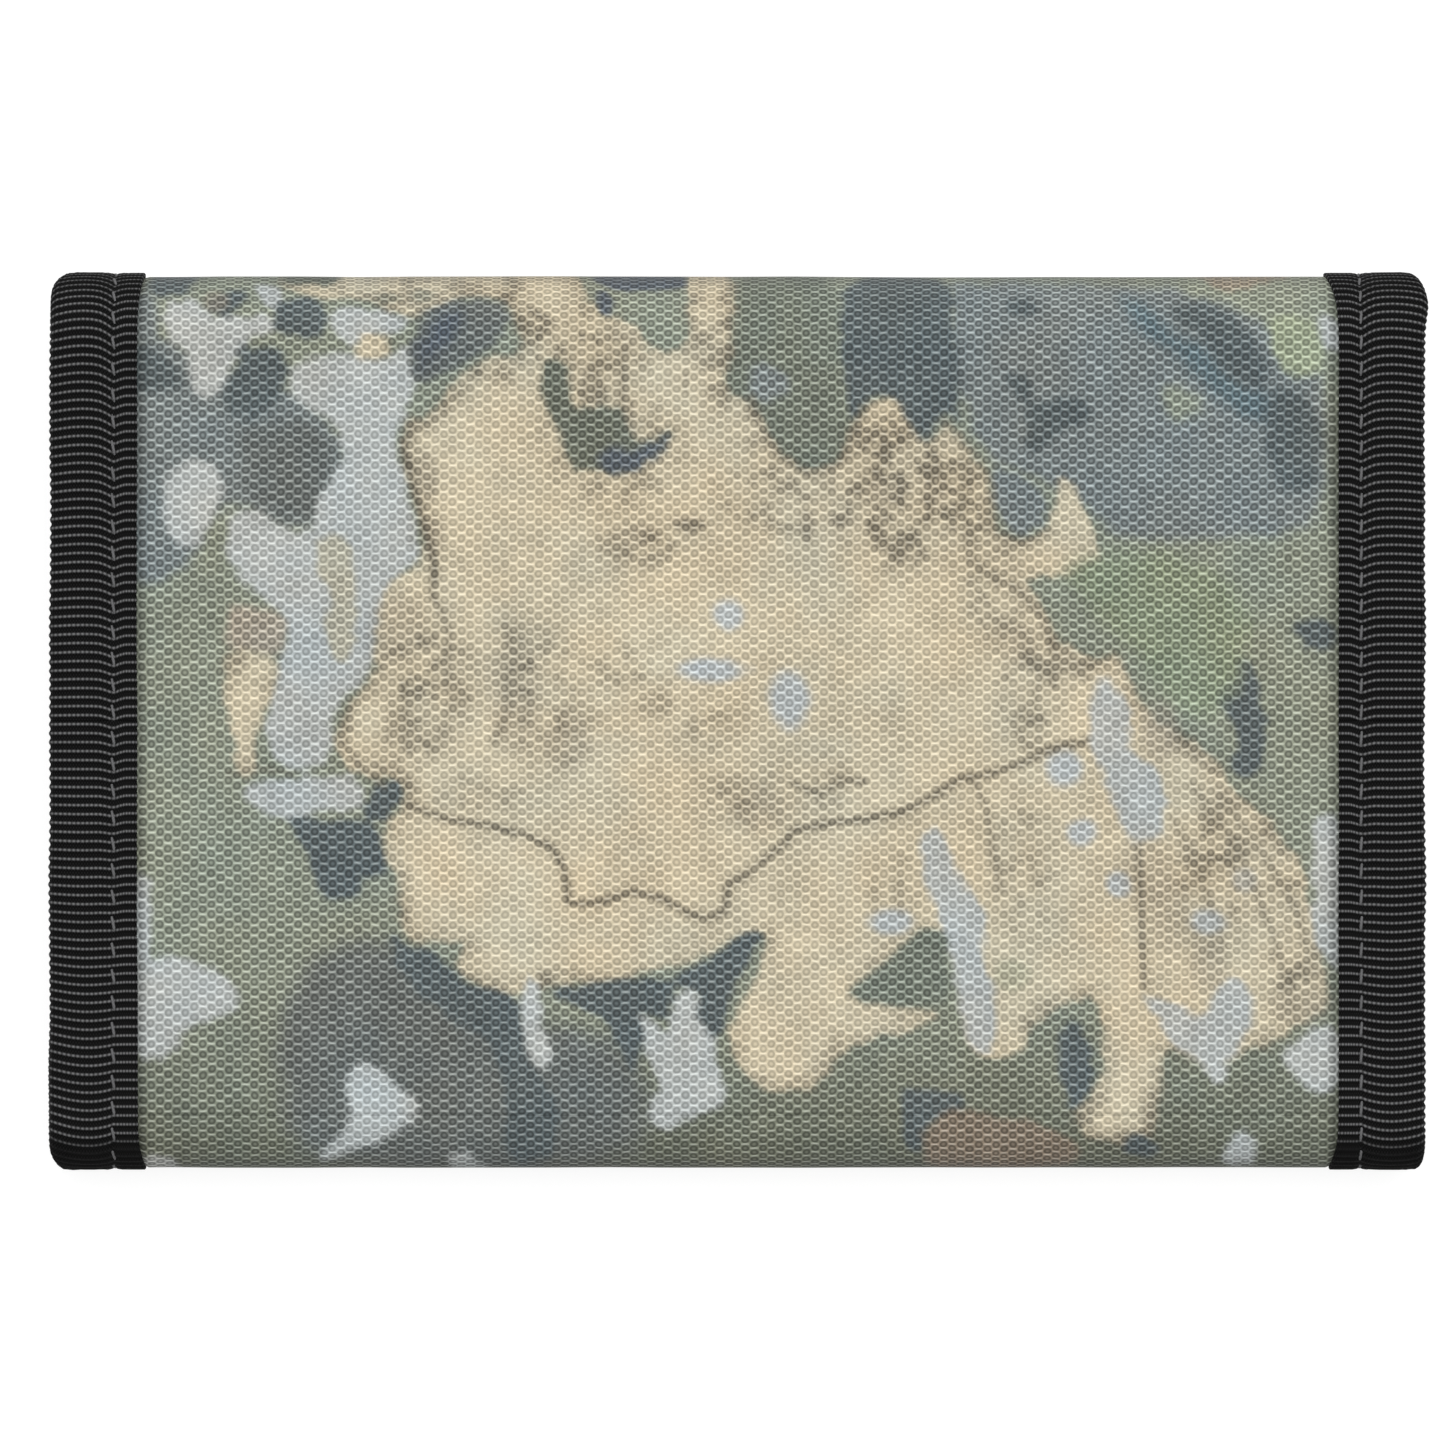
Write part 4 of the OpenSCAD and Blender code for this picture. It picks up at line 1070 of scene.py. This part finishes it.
# Card window in the flap: a nylon frame with a clear sheet behind its opening
low, high = corners("card_window_frame")
rim = corners("card_window")[0][0] - low[0]
high[1] = TOP_C + 1.1  # short of the cloth that bends at the top fold
ring_u = np.array([0, 0.15, 0.4, rim - 0.4, rim - 0.15, rim])
ring_z = np.array([0.2, 0.5, 0.6, 0.6, 0.5, 0.28]) + low[2]
top_band = high[1] - corners("card_window")[1][1]
outer_pts = []
for u_in, z in zip(ring_u, ring_z):
    loop = []
    for x0, x1, y0, y1 in ((low[0], high[0], low[1], low[1]), (high[0], high[0], low[1], high[1]),
                           (high[0], low[0], high[1], high[1]), (low[0], low[0], high[1], low[1])):
        t = np.linspace(0, 1, 40)[:-1]
        px = np.clip(x0 + (x1 - x0) * t, low[0] + u_in, high[0] - u_in)
        py = np.clip(y0 + (y1 - y0) * t, low[1] + u_in, high[1] - u_in * top_band / rim)
        loop.append(np.stack([px, py, 0 * t + z], -1))
    outer_pts.append(np.concatenate(loop))
outer_pts = np.array(outer_pts)
bottom_pts = outer_pts[::-1].copy()
bottom_pts[..., 2] = low[2] + 0.02
loops = np.concatenate([outer_pts, bottom_pts])
m, c = loops.shape[:2]
i, j = np.meshgrid(np.arange(m), np.arange(c), indexing="ij")
quads = np.stack([i * c + j, i * c + (j + 1) % c, ((i + 1) % m) * c + (j + 1) % c, ((i + 1) % m) * c + j], -1)
window = mesh("card_window_rim", loops, quads.reshape(-1, 4).tolist(), loops[..., :2])
dress(window, LINING)
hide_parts("card_window_frame")
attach(window, "flap")
flat_stitches("card_window_stitches", "flap",
              frame_lines(low[0], high[0], low[1], high[1], 1.0, high[2], "lrb")
              + frame_lines(low[0], high[0], low[1], high[1] + rim - top_band, rim - 1.1, high[2]), 1)
low, high = corners("card_window")
VINYL_LAP = 0.8
vinyl = flat("card_window_vinyl", low[0] - VINYL_LAP, high[0] + VINYL_LAP, low[1] - VINYL_LAP,
             high[1] + VINYL_LAP, high[2], low[2], 2.0, 0.1, 1, lambda x, y: 0.04 * noise(x, y, 11, 61))
dress(vinyl, VINYL)
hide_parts("card_window")
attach(vinyl, "flap")

# Hook strip on the flap and loop strip on the third panel
low, high = corners("hook_strip")
HOOK_BASE_T = 0.55
HOOK_PITCH_X = 1.5
HOOK_PITCH_Y = 1.25
base = flat("hook_strip_base", low[0], high[0], low[1], high[1], low[2] + HOOK_BASE_T, low[2], 1.0, 0.25)
HOOK = rod_template([(0, 0, 0, 0.11), (0.0, 0, 0.5, 0.10), (0.03, 0, 0.85, 0.09), (0.16, 0, 1.1, 0.085),
                     (0.38, 0, 1.16, 0.08), (0.55, 0, 1.02, 0.07), (0.6, 0, 0.86, 0.04)], 5)
frames = []
for row in range(int((high[1] - low[1] - 2) / HOOK_PITCH_Y)):
    for col in range(int((high[0] - low[0] - 3) / HOOK_PITCH_X)):
        hx = low[0] + 1.5 + col * HOOK_PITCH_X + (row % 2) * 0.7
        hy = low[1] + 1.4 + row * HOOK_PITCH_Y
        way = 1.0 if col % 2 else -1.0
        frames.append((np.array([hx, hy, low[2] + 0.5]), np.array([0.9 * way, 0.25, 0]),
                       np.array([-0.25, 0.9 * way, 0]), np.array([0, 0, 1.0])))
hooks = many("hook_strip_hooks", *HOOK, frames)
for piece in (base, hooks):
    dress(piece, HOOKS)
    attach(piece, "flap")
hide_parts("hook_strip")
flat_stitches("hook_strip_stitches", "flap",
              frame_lines(low[0], high[0], low[1], high[1], 0.9, low[2] + HOOK_BASE_T), 1)

low, high = corners("loop_strip")
pile = flat("loop_strip_pile", low[0], high[0], low[1], high[1], low[2] + 0.55, high[2] + 0.05, 0.45, 0.5, -1,
            lambda x, y: 0.28 * noise(x, y, 0.9, 71) + 0.16 * noise(x, y, 0.5, 72))
dress(pile, LOOPS)
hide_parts("loop_strip")
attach(pile, "third_panel")
LOOP = rod_template([(-0.35, 0, -0.1, 0.045), (-0.3, 0, 0.25, 0.045), (-0.12, 0.05, 0.5, 0.045),
                     (0.12, 0.1, 0.5, 0.045), (0.3, 0.1, 0.25, 0.045), (0.35, 0.1, -0.1, 0.045)], 4)
frames = []
LOOP_COUNT = 900
GOLDEN_ANGLE = 2.399963
for k in range(LOOP_COUNT):
    spin = k * GOLDEN_ANGLE
    lx = low[0] + 1.2 + ((k * 0.618034) % 1) * (high[0] - low[0] - 2.4)
    ly = low[1] + 1.2 + ((k * 0.754878) % 1) * (high[1] - low[1] - 2.4)
    frames.append((np.array([lx, ly, low[2] + 0.62]), np.array([math.cos(spin), math.sin(spin), 0]),
                   np.array([-math.sin(spin), math.cos(spin), 0]), np.array([0, 0, -1.0])))
curls = dress(many("loop_strip_loops", LOOP[0], [f[::-1] for f in LOOP[1]], frames), LOOPS)
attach(curls, "third_panel")
flat_stitches("loop_strip_stitches", "third_panel",
              frame_lines(low[0], high[0], low[1], high[1], 0.8, low[2] + 0.5), -1)

# ---------------------------------------------------------------- zip
low, high = corners("zip_lip_fabric")
xs = np.linspace(-RIBBON_IN - 0.6, RIBBON_IN + 0.6, 150)
xs = np.concatenate([[-HALF_W + 0.9], xs, [HALF_W - 0.9]])
ys = np.linspace(low[1], high[1], 24)
x, y = np.meshgrid(xs, ys)
s = S6 + y - LOW_C
turn = quarter_round((y - low[1]) / ZIP_TURN)
lip = slab("zip_lip", place(x, s, fabric_depth(x, s) + ZIP_TURN * turn), place(x, s, FABRIC_BACK + 0 * x),
           np.stack([x, s], -1), print_at(x, s))
dress(lip, FABRIC)
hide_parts("zip_lip_fabric")
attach(lip, "third_panel")

for node in ("zip_tape_lower", "zip_tape_upper"):
    low, high = corners(node)
    tape = flat(node + "_cloth", low[0], high[0], low[1], high[1], low[2], high[2], 1.5, 0.15, -1)
    dress(tape, TAPE)
    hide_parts(node)
    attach(tape, "third_panel")
zip_low = corners("zip_tape_lower")[1][1]
zip_high = corners("zip_tape_upper")[0][1]
zip_y = (zip_low + zip_high) / 2
lip_z = THIRD_Z + FABRIC_AT
flat_stitches("zip_stitches", "third_panel",
              [(-RIBBON_IN, zip_open - 1.3, RIBBON_IN, zip_open - 1.3, lip_z),
               (-RIBBON_IN, corners("zip_lip_fabric")[0][1] + 1.3, RIBBON_IN,
                corners("zip_lip_fabric")[0][1] + 1.3, lip_z)], -1)

# Teeth: a rounded block each, a little wider at its tip
TOOTH_COUNT = 50
TOOTH_PITCH = 2.0
TOOTH_OUTLINE = ((-1, -0.15), (-0.7, -0.3), (0.7, -0.3), (1, -0.15), (1, 0.15), (0.7, 0.3), (-0.7, 0.3),
                 (-1, 0.15))
TOOTH_RINGS = ((0.0, 0.34, 0.5), (0.12, 0.45, 0.9), (0.45, 0.45, 1.0), (0.8, 0.3, 0.9), (1.4, 0.28, 0.8))
tooth = np.array([[x * sx, y, z * sz] for y, sx, sz in TOOTH_RINGS for x, z in TOOTH_OUTLINE])
tooth_faces = [[r * 8 + k, r * 8 + (k + 1) % 8, (r + 1) * 8 + (k + 1) % 8, (r + 1) * 8 + k]
               for r in range(4) for k in range(8)]
tooth_faces += [list(reversed(range(8))), [32 + k for k in range(8)]]
for node, way in (("zip_teeth_lower", -1), ("zip_teeth_upper", 1)):
    low, high = corners(node)
    root = low[1] if way > 0 else high[1]
    mid_z = (low[2] + high[2]) / 2
    frames = []
    for k in range(TOOTH_COUNT):
        tx = low[0] + 0.45 + k * TOOTH_PITCH
        frames.append((np.array([tx, root, mid_z]), np.array([1.0, 0, 0]), np.array([0, float(way), 0]),
                       np.array([0, 0, 1.0])))
    sides = tooth_faces if way > 0 else [f[::-1] for f in tooth_faces]
    teeth = dress(many(node + "_row", tooth, sides, frames), COIL)
    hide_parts(node)
    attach(teeth, "third_panel")

low, high = corners("zip_stops")
stop_l = 2.0
stop = None
for x0 in (low[0], high[0] - stop_l):
    piece = flat("zip_stop_" + ("left" if x0 < 0 else "right"), x0, x0 + stop_l, low[1], high[1],
                 low[2] - 0.05, high[2], 0.4, 0.3, -1)
    dress(piece, NICKEL)
    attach(piece, "third_panel")
    stop = stop or piece
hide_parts("zip_stops")

# Slider: two waisted plates, the post, and an arched bridge over the ribbon pull
low, high = corners("zip_slider")
mid_x = (low[0] + high[0]) / 2
half_l = (high[0] - low[0]) / 2
half_y = (high[1] - low[1]) / 2
bridge_top = low[2]
plate_top = THIRD_Z + 0.4
plate_low = high[2] - 0.5


def slider_plate(name, z_top, z_bottom, up):
    t = np.linspace(-1, 1, 31)[:, None]
    w = np.linspace(-1, 1, 15)[None, :]
    reach = half_y * (0.98 - 0.22 * step(-0.2, 1.0, t)) * (1 - 0.22 * np.abs(t) ** 8)
    x = mid_x + half_l * t + 0 * w
    y = zip_y + reach * w
    edge = np.minimum(1 - np.abs(t), (1 - np.abs(w)) * 0.8)
    fall = quarter_round(edge / 0.12)
    over = z_top + (z_bottom - z_top) * 0.45 * fall
    under = z_bottom + (z_top - z_bottom) * 0.2 * fall
    a = np.stack([x, y, over], -1)
    b = np.stack([x, y, under], -1)
    if up > 0:
        a = a[::-1]
        b = b[::-1]
    return slab(name, a, b, a[..., :2])


top_plate = slider_plate("zip_slider_plate", plate_top, plate_top + 0.5, 1)
low_plate = slider_plate("zip_slider_underplate", high[2], plate_low, -1)
POST_X = 1.5
POST_Y = 0.1
post = flat("zip_slider_post", mid_x - POST_X, mid_x + POST_X, zip_y - POST_Y, zip_y + POST_Y,
            plate_top + 0.2, plate_low + 0.2, 0.3, 0.08, -1)
t = np.linspace(-1, 1, 33)[:, None]
w = np.linspace(-1, 1, 9)[None, :]
rise = (1 - np.abs(t) ** 4) ** 0.6
bx = mid_x + 3.5 * t + 0 * w
by = zip_y + (0.75 + 0.25 * np.abs(t)) * w
arch = plate_top - (plate_top - bridge_top - 0.02) * rise + 0.12 * w ** 4
under = np.minimum(arch + 0.42, plate_top + 0.1)
bridge = slab("zip_slider_bridge", np.stack([bx, by, arch], -1)[::-1], np.stack([bx, by, under], -1)[::-1],
              np.stack([bx, by], -1))
for piece in (top_plate, low_plate, post, bridge):
    dress(piece, NICKEL)
    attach(piece, "slider")
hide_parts("zip_slider")

low, high = corners("zip_pull_ribbon")
pull = flat("zip_pull_cloth", low[0], high[0], low[1], high[1], low[2], high[2], 0.25, 0.2, -1,
            lambda x, y: 0.03 * np.cos(2 * PI * y / RIB) + 0.08 * step(high[1] - 2.5, high[1], y))
dress(pull, RIBBON)
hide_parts("zip_pull_ribbon")
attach(pull, "slider")

# ---------------------------------------------------------------- stage, light and camera
floor_mat = Nodes("floor", 0.9, Specular_IOR_Level=0.1)
floor_mat.colour(floor_mat.ramp(floor_mat.cloud(floor_mat.new("ShaderNodeTexCoord").outputs["Object"], 3.0),
                                [(0.0, 0.25), (1.0, 0.27)]))
floor_mat.shader.inputs["Emission Color"].default_value = (1, 1, 1, 1)
floor_mat.shader.inputs["Emission Strength"].default_value = 0.85
FLOOR_HALF = 2000
FLOOR_Z = -0.6
square = np.array([[-1, -1, 0], [1, -1, 0], [1, 1, 0], [-1, 1, 0]])
floor = mesh("floor", square * FLOOR_HALF + [0, 0, FLOOR_Z], [[0, 1, 2, 3]])
floor.data.materials.append(floor_mat.material)

world = bpy.data.worlds.new("studio")
bpy.context.scene.world = world
world.use_nodes = True
sky = world.node_tree
split = sky.nodes.new("ShaderNodeSeparateXYZ")
sky.links.new(sky.nodes.new("ShaderNodeTexCoord").outputs["Generated"], split.inputs[0])
fade = sky.nodes.new("ShaderNodeMapRange")
sky.links.new(split.outputs[1], fade.inputs[0])
for socket, value in zip(fade.inputs[1:5], (-0.9, 0.5, 0.1, 0.8)):
    socket.default_value = value
sky.links.new(fade.outputs[0], sky.nodes["Background"].inputs[0])
sky.nodes["Background"].inputs[1].default_value = 0.66


def softbox(name, at, size, power):
    light = bpy.data.lights.new(name, "AREA")
    light.size = size
    light.energy = power
    made = bpy.data.objects.new(name, light)
    bpy.context.scene.collection.objects.link(made)
    made.location = at
    made.rotation_euler = (-Vector(at)).to_track_quat("-Z", "Y").to_euler()


softbox("top_light", (0.04, 0.16, 1.2), 0.7, 11.4)

AIM = Vector((-0.00139, -0.00016, THICK / 1000))
DISTANCE = 1.4
FRAME_W = 0.1366
SENSOR = 36
camera_data = bpy.data.cameras.new("camera")
camera_data.sensor_width = SENSOR
camera_data.lens = SENSOR * DISTANCE / FRAME_W
camera_data.clip_end = 20
camera = bpy.data.objects.new("camera", camera_data)
bpy.context.scene.collection.objects.link(camera)
camera.location = AIM + Vector((0, 0, DISTANCE))
bpy.context.scene.camera = camera
bpy.context.scene.view_settings.view_transform = "Standard"
